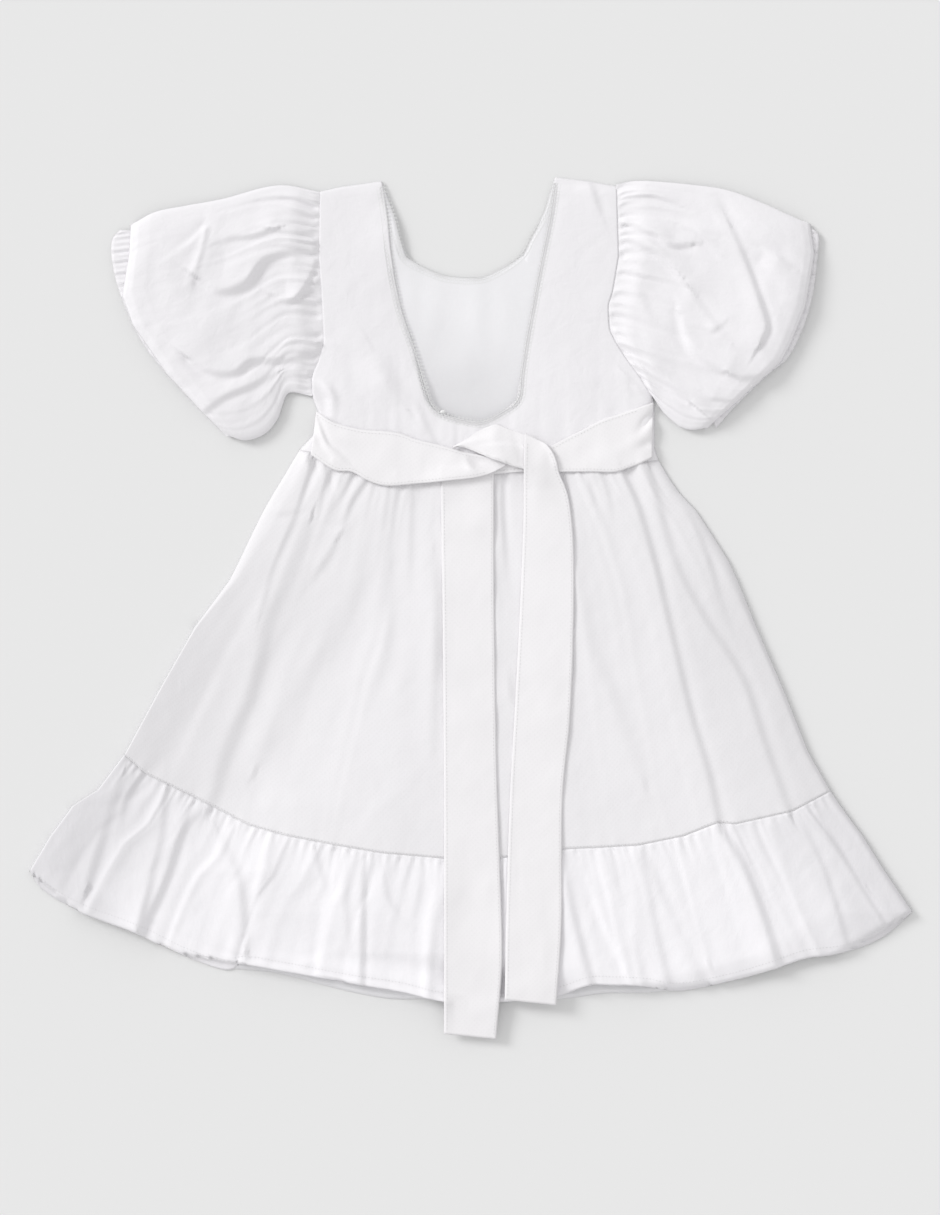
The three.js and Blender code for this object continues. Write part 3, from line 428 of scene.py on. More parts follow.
SASH_EDGES = {
    "sash_left": {
        "upper": [(-117, 149), (-104, 141), (-84, 135.5), (-54, 132.5), (-42, 128), (-20, 122.5), (-6, 118.5),
                  (10, 115), (27, 110)],
        "lower": [(-121, 116), (-102, 104), (-90, 103), (-78, 96.5), (-65, 92.5), (-40, 94), (-16, 96.3),
                  (3.5, 98.6), (14.9, 101.7), (27, 108.2)],
    },
    "sash_right": {
        "upper": [(14, 119), (40, 121), (60, 122.5), (71, 128), (84, 134.5), (98.5, 142), (120, 149.5),
                  (139, 156)],
        "lower": [(15.7, 100.9), (40.7, 103.2), (66, 103), (90, 103), (111, 103), (120, 106), (129, 109.5),
                  (138, 114)],
    },
}
SASH_FOLDS = {
    "sash_left": [
        (((-117, 146), (-108, 124), (-102, 119), (-92, 110)), RIGHT, 1.6, 6, (1.0, 2.0, 0.4)),
        (((-119, 139), (-114, 126), (-107, 114)), BOTH, 1.5, 3, (-0.8, -1.6, -0.5)),
        (((-117, 132), (-100, 128), (-82, 126)), BOTH, 2, 5, (0.9, 0.7, 0.1)),
        (((-60, 131), (-66, 114), (-80, 98)), BOTH, 3, 9, (0.2, 0.7, 0.2)),
        (((-5, 120), (1, 112), (12, 109), (23, 108.6)), BOTH, 2, 4.6, (-1.0, -3.0, -1.4)),
        (((-3, 114), (0, 106), (7, 101)), BOTH, 1.5, 3.4, (1.0, 1.5, 0.5)),
        (((-30, 118), (-16, 112), (-4, 103)), BOTH, 3, 7, (0.3, 0.9, 0.3)),
        (((-66, 93), (-30, 95), (20, 104)), BOTH, 3, 8, (0.4, 2.2, 1.8)),
    ],
    "sash_right": [
        (((139, 147), (133, 141), (128, 134)), BOTH, 1.5, 3.2, (-2.0, -2.4, -0.6)),
        (((139, 126), (133, 124), (127, 121)), BOTH, 1.5, 3, (-1.0, -1.2, -0.3)),
        (((139, 138), (126, 127), (108, 117)), BOTH, 2, 5, (1.0, 0.7, 0.2)),
        (((66, 116), (80, 122), (96, 134)), BOTH, 3, 8, (0.9, 0.6, 0.1)),
        (((66, 108), (84, 107), (108, 110)), BOTH, 3, 7, (0.7, 0.4, 0.1)),
    ],
    "sash_tail_left": [
        (((-20, 70), (2, 64), (18, 66)), BOTH, 3, 9, (0.2, 0.6, 0.2)),
        (((-10, -60), (4, -90), (18, -100)), BOTH, 3, 14, (0.2, 0.7, 0.3)),
        (((-20, -300), (0, -306), (20, -300)), BOTH, 3, 9, (0.6, 0.8, 0.4)),
    ],
    "sash_tail_right": [
        (((57, 124), (62, 117.5), (65.5, 109)), BOTH, 1.5, 2.6, (1.0, 1.8, 1.2)),
        (((58, 122), (52, 100), (50, 70)), BOTH, 3, 8, (0.9, 0.8, 0.2)),
        (((40, -20), (56, -50), (74, -66)), BOTH, 3, 14, (0.2, 0.7, 0.3)),
        (((28, -292), (48, -288), (64, -296)), BOTH, 3, 9, (0.5, 0.8, 0.4)),
    ],
}

# The flap that the left band makes where it goes over the right one
KNOT = {
    "upper": [(-13.2, 122.4), (-4, 127.5), (5.8, 134), (13, 137.3), (19.5, 139.3), (27, 136.6), (33.1, 134.3),
              (41, 131.6), (48, 129)],
    "lower": [(-13.2, 121.6), (-7.1, 122), (0.5, 119.5), (8.1, 116.1), (16, 112.6), (24, 110), (31.6, 107),
              (40, 105), (48, 103.5)],
    "lift": (1.6, 2.2, 3.3, 3.7, 3.2, 0.9),
}
KNOT_FOLDS = [
    (((19.5, 138), (17, 128), (26, 118)), BOTH, 2, 5, (0.3, 0.9, 0.2)),
    (((33, 133), (36, 124), (38, 112)), BOTH, 2, 4, (-0.4, -1.2, -0.5)),
    (((-6, 123), (6, 125), (16, 123)), BOTH, 2, 4, (0.6, 0.5, 0.1)),
    (((9, 123), (22, 124.5), (39, 123)), RIGHT, 1.6, 6, (0.3, 0.9, 0.6)),
]

TAIL_LEFT = {
    "left": [(-22, 106), (-22.3, 90), (-21.5, 30), (-21, -9), (-20.2, -120), (-20, -199), (-20, -323)],
    "right": [(18, 108), (18, 96), (18, 30), (18.3, -9), (20, -120), (22.5, -199), (24, -268), (19.5, -327)],
}
TAIL_RIGHT = {
    "left": [(41.3, 132.5), (40.5, 110), (40, 62), (37, -10), (34, -69), (30, -142), (27, -240), (26, -297)],
    "right": [(57, 124.5), (62.5, 117.5), (65.5, 110), (67, 103), (73.5, 87), (77.5, 60), (78.5, 4),
              (75.5, -84), (70, -142), (69, -243), (65, -301)],
}

TAILS = {"sash_tail_left": TAIL_LEFT, "sash_tail_right": TAIL_RIGHT}


# Surfaces


def at_shares(points, shares):
    """Points of a path at the given shares of its length."""
    points = np.asarray(points, dtype=float)
    run = run_of(points)
    return np.column_stack([np.interp(np.asarray(shares) * run[-1], run, points[:, axis]) for axis in (0, 1)])


def crowded(count, strength=0.5):
    """Shares from 0 to 1 that crowd together at both ends."""
    share = np.linspace(0, 1, count)
    return mix(share, (1 - np.cos(math.pi * share)) / 2, strength)


def patch(top, bottom, left, right, across, down):
    """A grid of plan points between four edges. top and bottom run from left to right, left and
    right run from top to bottom, and across and down are the shares of its columns and rows."""
    top, bottom = at_shares(top, across), at_shares(bottom, across)
    left, right = at_shares(left, down), at_shares(right, down)
    u, v = np.asarray(across)[None, :, None], np.asarray(down)[:, None, None]
    between_sides = mix(left[:, None], right[:, None], u)
    between_ends = mix(top[None], bottom[None], v)
    corners = mix(mix(top[0], bottom[0], v), mix(top[-1], bottom[-1], v), u)
    return between_sides + between_ends - corners


def runs(grid):
    """Distances over a grid of points: along its rows from the middle, and down its columns."""
    along = np.hypot(*np.moveaxis(np.diff(grid[..., :2], axis=1), 2, 0))
    along = np.concatenate([np.zeros((len(grid), 1)), np.cumsum(along, axis=1)], axis=1)
    along = along - along[:, along.shape[1] // 2][:, None]
    down = np.hypot(*np.moveaxis(np.diff(grid[..., :2], axis=0), 2, 0))
    down = np.concatenate([np.zeros((1, grid.shape[1])), np.cumsum(down, axis=0)])
    return along, down


def grid_surface(points, uv):
    """A surface from rows of points: its points, four-cornered faces and cloth coordinates."""
    rows, columns = points.shape[:2]
    index = np.arange(rows * columns).reshape(rows, columns)
    faces = np.stack([index[:-1, :-1], index[1:, :-1], index[1:, 1:], index[:-1, 1:]], axis=-1)
    surface = {"points": points.reshape(-1, 3), "faces": faces.reshape(-1, 4), "uv": uv.reshape(-1, 2)}
    if normals_of(surface)[:, 2].sum() < 0:
        surface["faces"] = surface["faces"][:, ::-1]
    return surface


def laid_out(grid):
    """A plan grid's x and y, and its distances along its rows and down its columns."""
    return grid[..., 0], grid[..., 1], *runs(grid)


def cloth_surface(x, y, height, along, depth):
    """A surface over a plan grid, whose cloth runs along its rows and down its columns."""
    return grid_surface(np.dstack([x, y, height]), np.dstack([along, -depth]))


def tube_surface(top, bottom, uv_top, uv_bottom):
    """A flattened tube from rows of points on its top and its bottom, which share their ends."""
    rings = np.concatenate([top, bottom[:, -2:0:-1]], axis=1)
    uv = np.concatenate([uv_top, uv_bottom[:, -2:0:-1]], axis=1)
    rows, columns = rings.shape[:2]
    index = np.arange(rows * columns).reshape(rows, columns)
    after = np.roll(index, -1, axis=1)
    faces = np.stack([index[:-1], index[1:], after[1:], after[:-1]], axis=-1).reshape(-1, 4)
    surface = {"points": rings.reshape(-1, 3), "faces": faces, "uv": uv.reshape(-1, 2)}
    middle = rings[rows // 2, top.shape[1] // 2]
    near = np.linalg.norm(surface["points"] - middle, axis=1) < 15
    if normals_of(surface)[near][:, 2].sum() < 0:
        surface["faces"] = faces[:, ::-1]
    return surface


def joined(surfaces):
    """Several surfaces as one, with the points that they share merged."""
    offset, points, faces, uv = 0, [], [], []
    for surface in surfaces:
        points.append(surface["points"])
        faces.append(surface["faces"] + offset)
        uv.append(surface["uv"])
        offset += len(surface["points"])
    points, faces, uv = np.vstack(points), np.vstack(faces), np.vstack(uv)
    first, index = np.unique(np.round(points, 2), axis=0, return_index=True, return_inverse=True)[1:]
    return {"points": points[first], "faces": index.reshape(-1)[faces], "uv": uv[first]}


def normals_of(surface):
    points, faces = surface["points"], surface["faces"]
    a, b, c, d = (points[faces[:, k]] for k in range(4))
    turned = np.cross(c - a, d - b)
    normals = np.zeros(points.shape)
    for k in range(4):
        np.add.at(normals, faces[:, k], turned)
    return normals / np.maximum(np.linalg.norm(normals, axis=1), 1e-9)[:, None]


def added(name, data):
    """An object with this data, in the scene."""
    thing = bpy.data.objects.new(name, data)
    bpy.context.scene.collection.objects.link(thing)
    return thing


def finished(mesh, uv, material, rounded_off):
    """Gives a mesh its cloth coordinates, one for each point, its shading and its material."""
    layer = mesh.uv_layers.new(name="cloth")
    corners = np.empty(len(mesh.loops), dtype=np.int32)
    mesh.loops.foreach_get("vertex_index", corners)
    layer.data.foreach_set("uv", uv[corners].astype(np.float32).reshape(-1))
    mesh.polygons.foreach_set("use_smooth", np.full(len(mesh.polygons), rounded_off))
    mesh.materials.append(material)
    return added(mesh.name, mesh)


def in_metres(points):
    """Points in millimetres from the photograph's middle, as places in the scene."""
    return (points + (CAD_SHIFT, 0, 0)) * MM


def made(name, points, faces, uv, material):
    """An object from points in millimetres."""
    mesh = bpy.data.meshes.new(name)
    mesh.from_pydata(in_metres(points).tolist(), [], faces)
    return finished(mesh, uv * MM, material, True)


def shell(name, surface, thickness, material):
    """A thin closed shell: the surface, a copy of it one thickness below, and rims between them."""
    points, faces, uv = surface["points"], surface["faces"], surface["uv"]
    count = len(points)
    under = points - normals_of(surface) * thickness
    start, end = faces.reshape(-1), np.roll(faces, -1, axis=1).reshape(-1)
    open_edge = ~np.isin(start * count + end, end * count + start)
    i, j = start[open_edge], end[open_edge]
    rims = np.stack([j, i, i + count, j + count], axis=-1)
    whole = np.vstack([faces, faces[:, ::-1] + count, rims])
    return made(name, np.vstack([points, under]), whole.tolist(), np.vstack([uv, uv]), material)


def place(piece, slot, nodes, **sheet):
    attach(piece, "root")
    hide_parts(*nodes)


# Paths beside other paths


def beside(path, distance):
    """The path moved sideways in plan: to its left where distance is above 0."""
    path = np.asarray(path, dtype=float)
    run = np.gradient(path, axis=0)
    run /= np.maximum(np.hypot(run[:, 0], run[:, 1]), 1e-9)[:, None]
    return path + np.column_stack([-run[:, 1], run[:, 0]]) * distance


def neck_line(neck):
    """A neck's edge from one shoulder to the other."""
    return curve([*neck["left"], *neck["bottom"][1:-1], *neck["right"]], 160)


def inset(neck, shown):
    """A neck's three edges, moved into the cloth, and further where its lace shows most of its holes."""
    left, bottom, right = neck["left"], neck["bottom"][1:-1], neck["right"]
    path = np.array([*left, *bottom, *right], dtype=float)
    near = np.exp(-(np.hypot(*(path - shown).T) / LACE_SHOWN) ** 2)[:, None]
    line = beside(path, -mix(LACE_INSET, LACE_WIDTH - LACE_LAP, near)).tolist()
    first, last = len(left), len(left) + len(bottom)
    return {"left": line[:first], "bottom": line[first - 1:last + 1], "right": line[last:]}


# Heights of the body


def side_at(y, which):
    """Where the dress's left or right side lies at each y."""
    return np.interp(y, BODY_SIDES[:, 0], BODY_SIDES[:, 1 if which == "left" else 2])


def from_sides(x, y):
    """Distance in from the nearer side of the dress."""
    return np.minimum(x - side_at(y, "left"), side_at(y, "right") - x)


def rounded(distance, width):
    """A quarter of an ellipse: 0 at an edge and 1 from one width in."""
    share = 1 - np.clip(distance / width, 0, 1)
    return np.sqrt(1 - share * share)


SEAM_SPAN = 900             # length that the waves of a gathered seam cover before they repeat


def gathers(along, depth, seed, rows):
    """Gathers under a seam. Each row is: pitch, rise, depth over which it fades, share that stays.
    They wander sideways and differ in length."""
    total = np.zeros(along.shape)
    wave_of = [noise_line(seed + 90 + k, pitch, SEAM_SPAN)(along) for k, pitch in enumerate((55, 23, 13, 41))]
    wander = wave_of[0] * 0.12 + wave_of[1] * 0.09
    reach = np.maximum(1.15 + 0.75 * wave_of[2] + 0.3 * wave_of[3], 0.3)
    for k, (pitch, rise, fade, rest) in enumerate(rows):
        wave = noise_line(seed + k, pitch, SEAM_SPAN)(along + SEAM_SPAN / 2 + wander * depth)
        total += rise * wave * (rest + (1 - rest) * np.exp(-depth / (fade * reach)))
    return total


crumple_wide = noise_field(SEED, 26, 34, 0.3)
crumple_fine = noise_field(SEED + 1, 9, 13, -0.4)


def crumpled(x, y, wide, fine):
    return wide * crumple_wide(x + 500, y + 500) + fine * crumple_fine(x + 500, y + 500)


EDGE_LEVEL = 0.9            # height of the back's upper side at the dress's folded sides
LEAST_GAP = 0.4             # how far the back may come down below its level
SIDE_SLANT = 0.9            # a level distance to a slanting side, as the shortest distance
UNDERARM = 165
SHOULDER_TOP = 326
SHOULDER_SLOPE = 0.05
SHOULDER_ROUND = 9
LEFT_ROUND = 1.2            # width over which the skirt rises at its left side
RIGHT_DROP = 4              # and at its right side, up to the share RIGHT_EDGE of its height
RIGHT_EDGE = 0.62
RIGHT_ROUND = 60            # width over which it rises to the rest
STRAP_LIFT = 1.3            # how far a strap's back stands off its front
STRAP_RISE = 3.2            # how far the left strap's two layers bulge off the surface together
STRAP_TOP = (-56, 284)
STRAP_SPREAD = (17, 26)

# How much the lower skirt's back stands above or below its level, by the distance from its left side
LEFT_FLANK = curve([(0, 1.8), (4, 1.6), (16, 0.6), (30, -1.2), (42, -0.9), (58, -1.8), (74, -3.0),
                    (110, -3.4), (150, -2.0), (210, 0.0)], 120).T
RIGHT_ROLL = 1.2            # height and width of a low roll along the right side
RIGHT_ROLL_WIDTH = 60
SWELL = 3.0                 # how much higher the skirt's middle stands, and how far from each side
SWELL_LEFT, SWELL_RIGHT = (90, 180), (0, 66)
SEAM_DIP = 0.15             # depth and width of the dip along an armhole
SEAM_DIP_WIDTH = 2.6

# Bands of -y in which one part of the dress goes over into the next
ARM_BAND = (-172, -150)
BODICE_BAND = (-205, -110)
SKIRT_BAND = (-112, 30)
ROLL_BAND = (-40, 90)

# How much of the rise written in the fold tables is used, and how far the folds' drops are widened
SKIRT_SOFTNESS = (0.45, 1.3)
RUFFLE_SOFTNESS = (0.42, 1.3)
BODICE_SOFTNESS = (0.6, 1.1)
SLEEVE_SOFTNESS = (0.62, 1.2)

# How strong the wide and the fine crumples are
SKIRT_CRUMPLE = (0.45, 0.14)
RUFFLE_CRUMPLE = (0.4, 0.2)
BODICE_CRUMPLE = (0.4, 0.16)
SLEEVE_CRUMPLE = (0.8, 0.25)
BAND_CRUMPLE = (0.3, 0.12)
TAIL_CRUMPLE = (0.35, 0.12)


def strap_rise(x, y):
    """How far the left strap's two layers stand off the surface together, beside the neck."""
    (top_x, top_y), (wide, tall) = STRAP_TOP, STRAP_SPREAD
    return STRAP_RISE * np.exp(-((y - top_y) / tall) ** 2 - ((x - top_x) / wide) ** 2)


def below_shoulder(x, y):
    """0 on the shoulder line and 1 where the layers have their full height below it."""
    return rounded(SHOULDER_TOP - SHOULDER_SLOPE * np.abs(x) - y, SHOULDER_ROUND)


def body_level(x, y):
    """How high the smoothed-out back lies: folded down at its sides and shoulders, with a low roll
    along the skirt's left side, a hollow beside that, and a longer fall to its right side."""
    from_left = (x - side_at(y, "left")) * SIDE_SLANT
    from_right = (side_at(y, "right") - x) * SIDE_SLANT
    below_arm, skirt = smooth(-y, *ARM_BAND), smooth(-y, *SKIRT_BAND)
    full = BACK_LEVEL + mix(STRAP_LIFT, BODY_LIFT, smooth(-y, *BODICE_BAND))
    right_fall = mix(1.0, RIGHT_EDGE + (1 - RIGHT_EDGE) * rounded(from_right, RIGHT_ROUND), skirt)
    left_side = rounded(from_left, mix(SIDE_ROUND, LEFT_ROUND, skirt))
    side = np.minimum(left_side, rounded(from_right, mix(SIDE_ROUND, RIGHT_DROP, skirt)) * right_fall)
    side = mix(1.0, side, below_arm)
    seam = np.minimum(from_left, from_right) / SEAM_DIP_WIDTH
    seam_dip = (1 - below_arm) * SEAM_DIP * np.exp(-seam ** 2)
    shoulder = below_shoulder(x, y)
    roll = np.interp(from_left, *LEFT_FLANK) * smooth(-y, *ROLL_BAND)
    roll += RIGHT_ROLL * np.exp(-(from_right / RIGHT_ROLL_WIDTH) ** 2)
    swell = SWELL * smooth(from_left, *SWELL_LEFT) * smooth(from_right, *SWELL_RIGHT)
    height = EDGE_LEVEL + (full - EDGE_LEVEL + skirt * (roll + swell)) * side * shoulder
    return height - seam_dip + strap_rise(x, y) * shoulder


# The back skirt and its ruffle

SKIRT_WAVES = [(8, 0.6, 9, 0.0), (17, 0.8, 26, 0.0), (38, 0.7, 70, 0.08)]
SEAM_PUCKERS = [(7.5, 0.25, 4, 0.0)]
SEAM_TUCKS = [(6.5, 1.0, 5.5, 0.0), (11, 0.6, 10, 0.0)]
HEM_RISE = 1.4
RUFFLE_FULLNESS = 1.25      # how much more cloth lies along the ruffle than its plan shows
FOLDS_RUN_ON = 22           # how far the skirt's folds run on into the ruffle
SEAM_BLEND = 7              # depth over which the ruffle leaves the height of the skirt's edge
FRONT_RUFFLE_WAVES = [(16, 0.35, 60, 0.8), (34, 0.5, 60, 1.0)]
RUFFLE_WAVES = [(7, 0.55, 9, 0.0), (14, 0.8, 24, 0.05), (30, 0.8, 70, 0.5), (64, 0.9, 100, 0.8)]


def skirt_height(x, y, along, depth, rise):
    height = body_level(x, y) + fold_field(x, y, BODY_FOLDS, *SKIRT_SOFTNESS)
    height += crumpled(x, y, *SKIRT_CRUMPLE)
    height += gathers(along, depth, SEED + 10, SKIRT_WAVES)
    height += gathers(along * 0.97, rise, SEED + 30, SEAM_PUCKERS)
    return height - 0.15 * np.exp(-(rise / 1.6) ** 2)


def settle(x, y, height):
    """Keeps the back above the front, and its side edges on the front's edges."""
    aside = from_sides(x, y)
    inner = BACK_LEVEL - LEAST_GAP
    lowest = np.where(y < UNDERARM, mix(EDGE_LEVEL, inner, smooth(aside, 0, 6)), inner)
    calm = mix(0.25, 1.0, smooth(aside, 0, 12))
    level = body_level(x, y)
    height = level + (height - level) * calm
    over = height - lowest - strap_rise(x, y)
    lowest = lowest + strap_rise(x, y)
    return lowest + np.where(over > 1, over, np.exp(np.minimum(over, 1) - 1))


def edge_between(y_top, y_bottom, which):
    y = np.linspace(y_top, y_bottom, 40)
    return np.column_stack([side_at(y, which), y])


def panel_plan(top, bottom, fine, across, down):
    """A grid of plan points between the dress's sides and two seams. The lower one is made smooth,
    as so many points, where fine isn't 0."""
    left = edge_between(top[0][1], bottom[0][1], "left")
    right = edge_between(top[-1][1], bottom[-1][1], "right")
    high, low = ([left[end], *seam[1:-1], right[end]] for end, seam in ((0, top), (-1, bottom)))
    return patch(high, curve(low, fine) if fine else low, left, right, across, down)


SKIRT_ROWS = 118


def back_skirt_surface():
    grid = panel_plan(WAIST, RUFFLE_SEAM, 0, crowded(270, 0.72), np.linspace(0, 1, SKIRT_ROWS))
    x, y, along, depth = laid_out(grid)
    height = settle(x, y, skirt_height(x, y, along[0] + 0 * x, depth, depth[-1] - depth))
    return cloth_surface(x, y, height, along, depth)


def ruffle_surface(skirt_edge):
    """The ruffle, which starts at the skirt's lower edge: that edge's x and heights."""
    grid = panel_plan(RUFFLE_SEAM, BACK_HEM, 300, crowded(400, 0.55), np.linspace(0, 1, 62))
    x, y, along, depth = laid_out(grid)
    seam = along[0] + 0 * x
    height = body_level(x, y) + fold_field(x, y, RUFFLE_FOLDS, *RUFFLE_SOFTNESS)
    height += crumpled(x, y, *RUFFLE_CRUMPLE)
    height += fold_field(x, y, BODY_FOLDS, *SKIRT_SOFTNESS) * np.exp(-depth / FOLDS_RUN_ON)
    height += gathers(seam, depth, SEED + 50, RUFFLE_WAVES)
    height += HEM_RISE * smooth(depth / depth[-1], 0.3, 1.15)
    height += (np.interp(x[0], *skirt_edge) - height[0]) * np.exp(-depth / SEAM_BLEND)
    height += gathers(seam, depth, SEED + 64, SEAM_TUCKS) * smooth(depth, 0, 1.6)
    return cloth_surface(x, y, settle(x, y, height), along * RUFFLE_FULLNESS, depth)


# The back bodice, as two straps and the part below the neck


def bodice_plan(neck, low, columns, strap_rows, low_rows):
    """Plan grids of a bodice: left strap, right strap and the part below its neck. The straps end at
    low on the dress's sides, and columns are the points across a strap and across the neck."""
    shoulder_left = [*SHOULDERS["left"], neck["left"][0]]
    shoulder_right = [neck["right"][-1], *SHOULDERS["right"]]
    left_side = edge_between(SHOULDERS["left"][0][1], low, "left")
    right_side = edge_between(SHOULDERS["right"][-1][1], low, "right")
    neck_left, neck_right = curve(neck["left"], 60), curve(neck["right"][::-1], 60)
    neck_low = curve(neck["bottom"], 40)
    left_low = np.array([left_side[-1], neck_left[-1]])
    right_low = np.array([neck_right[-1], right_side[-1]])
    outer, middle = columns
    strap_down, strap_across = np.linspace(0, 1, strap_rows), np.linspace(0, 1, outer)
    left = patch(shoulder_left, left_low, left_side, neck_left, strap_across, strap_down)
    right = patch(shoulder_right, right_low, neck_right, right_side, strap_across, strap_down)
    top = np.vstack([left[-1], at_shares(neck_low, np.linspace(0, 1, middle))[1:-1], right[-1]])
    sides = (edge_between(low, WAIST[0][1], "left"), edge_between(low, WAIST[-1][1], "right"))
    run = run_of(top)
    bottom = at_shares([sides[0][-1], *WAIST[1:-1], sides[1][-1]], run / run[-1])
    low_down = np.linspace(0, 1, low_rows)
    lower = mix(top[None], bottom[None], low_down[:, None, None])
    pull = np.linspace(0, 1, lower.shape[1])[None, :, None]
    edges = [at_shares(side, low_down) for side in sides]
    lower += (1 - pull) * (edges[0] - lower[:, 0])[:, None] + pull * (edges[1] - lower[:, -1])[:, None]
    return left, right, lower


NECK_SAG = 1.4              # how far the back comes down at its neck's edge, and over what width
NECK_SAG_WIDTH = 9
BODICE_WAVES = [(8, 0.5, 8, 0.0), (19, 0.8, 24, 0.0)]


def bodice_height(x, y):
    height = body_level(x, y) + fold_field(x, y, BODY_FOLDS, *BODICE_SOFTNESS)
    height += crumpled(x, y, *BODICE_CRUMPLE)
    height -= NECK_SAG * np.exp(-along_path(x, y, neck_line(BACK_NECK))[0] / NECK_SAG_WIDTH)
    above_waist = np.maximum(y - np.interp(x, *np.array(WAIST).T), 0)
    height += gathers(x, above_waist, SEED + 10, BODICE_WAVES)
    return settle(x, y, height)


def back_bodice_surface():
    grids = bodice_plan(inset(BACK_NECK, BACK_LACE_SHOWN), 148, (44, 36), 90, 26)
    surfaces = []
    for grid in grids:
        x, y = grid[..., 0], grid[..., 1]
        surfaces.append(grid_surface(np.dstack([x, y, bodice_height(x, y)]), grid))
    return joined(surfaces)


# The front, flat under the back

FRONT_RIM = 8               # width over which its ripples begin at the dress's sides
LOWEST_RIPPLE = -0.3


def inside_rim(x, y):
    return smooth(from_sides(x, y), 0, FRONT_RIM)


def front_height(x, y):
    """The front lies on the surface with slight ripples."""
    ripple = 0.35 + 0.3 * crumple_wide(x + 100, y + 300)
    return FRONT_LEVEL + CLOTH + ripple + strap_rise(x, y) * below_shoulder(x, y)


INSIDE_FOLDS = [
    (((-26, 246), (-29, 220), (-36, 190)), BOTH, 2, 8, (0.4, 0.8, 0.2)),
    (((6, 246), (5, 225), (8, 196)), BOTH, 2, 7, (0.5, 0.9, 0.2)),
    (((22, 250), (26, 222), (22, 188)), BOTH, 2, 9, (0.3, 0.7, 0.3)),
    (((-44, 256), (-46, 236), (-44, 216)), BOTH, 2, 6, (0.3, 0.6, 0.2)),
    (((-34, 184), (-6, 175), (26, 174)), LEFT, 15, 30, (0.2, 1.7, 0.2)),
]


def front_bodice_surface():
    grids = bodice_plan(inset(FRONT_NECK, FRONT_LACE_SHOWN), 180, (26, 26), 44, 40)
    surfaces = []
    for grid in grids:
        x, y = grid[..., 0], grid[..., 1]
        height = front_height(x, y) + np.maximum(fold_field(x, y, INSIDE_FOLDS), LOWEST_RIPPLE)
        height = mix(FRONT_LEVEL + CLOTH, height, inside_rim(x, y))
        surfaces.append(grid_surface(np.dstack([x, y, height]), grid))
    return joined(surfaces)


def front_skirt_surface():
    grid = panel_plan(WAIST, RUFFLE_SEAM, 0, crowded(120, 0.3), np.linspace(0, 1, 60))
    x, y, along, depth = laid_out(grid)
    height = mix(FRONT_LEVEL + CLOTH, front_height(x, y), inside_rim(x, y))
    return cloth_surface(x, y, height, along, depth)


def front_ruffle_surface():
    grid = panel_plan(RUFFLE_SEAM, FRONT_HEM, 200, crowded(260, 0.2), np.linspace(0, 1, 34))
    x, y, along, depth = laid_out(grid)
    wave = gathers(along[0] + 0 * x, depth, SEED + 70, FRONT_RUFFLE_WAVES)
    rim = inside_rim(x, y)
    height = mix(FRONT_LEVEL + CLOTH, front_height(x, y), rim) + rim * np.maximum(wave, LOWEST_RIPPLE)
    height -= 0.2 * smooth(depth / depth[-1], 0.8, 1.0)
    return cloth_surface(x, y, height, along * RUFFLE_FULLNESS, depth)


# Sleeves and cuffs

SLEEVE_WAVES = [(5.2, 1.0, 7, 0.0), (10, 1.6, 17, 0.0), (23, 1.2, 34, 0.0)]
CUFF_GATHERS = [(6, 0.25, 4, 0.0), (13, 0.35, 10, 0.0)]
ARMHOLE_TUCK = 0.9          # how far a sleeve's gathers go in under the bodice's edge
EDGE_SHARE = 0.36           # height of a sleeve's side edges, as a share of its middle's height
EDGE_HEIGHT = 2.2           # the same at the armhole, and of a cuff's side edges, in millimetres
ARMHOLE_LEAST = 2.4         # least height of a sleeve's middle at the armhole
SLEEVE_FULLNESS = 1.5       # how much more cloth lies along a sleeve and a cuff than their plans show
CUFF_FULLNESS = 1.6
CUFF_DEPTH = 20

# The rows that turn in at a sleeve's end: how far back they lie, their heights and the relief they keep
TURN_ROWS = (2, 4, 5)
TURN_HEIGHTS = (5.2, 4.4, 3.8)
TURN_RELIEF = (0.6, 0.3, 0.1)


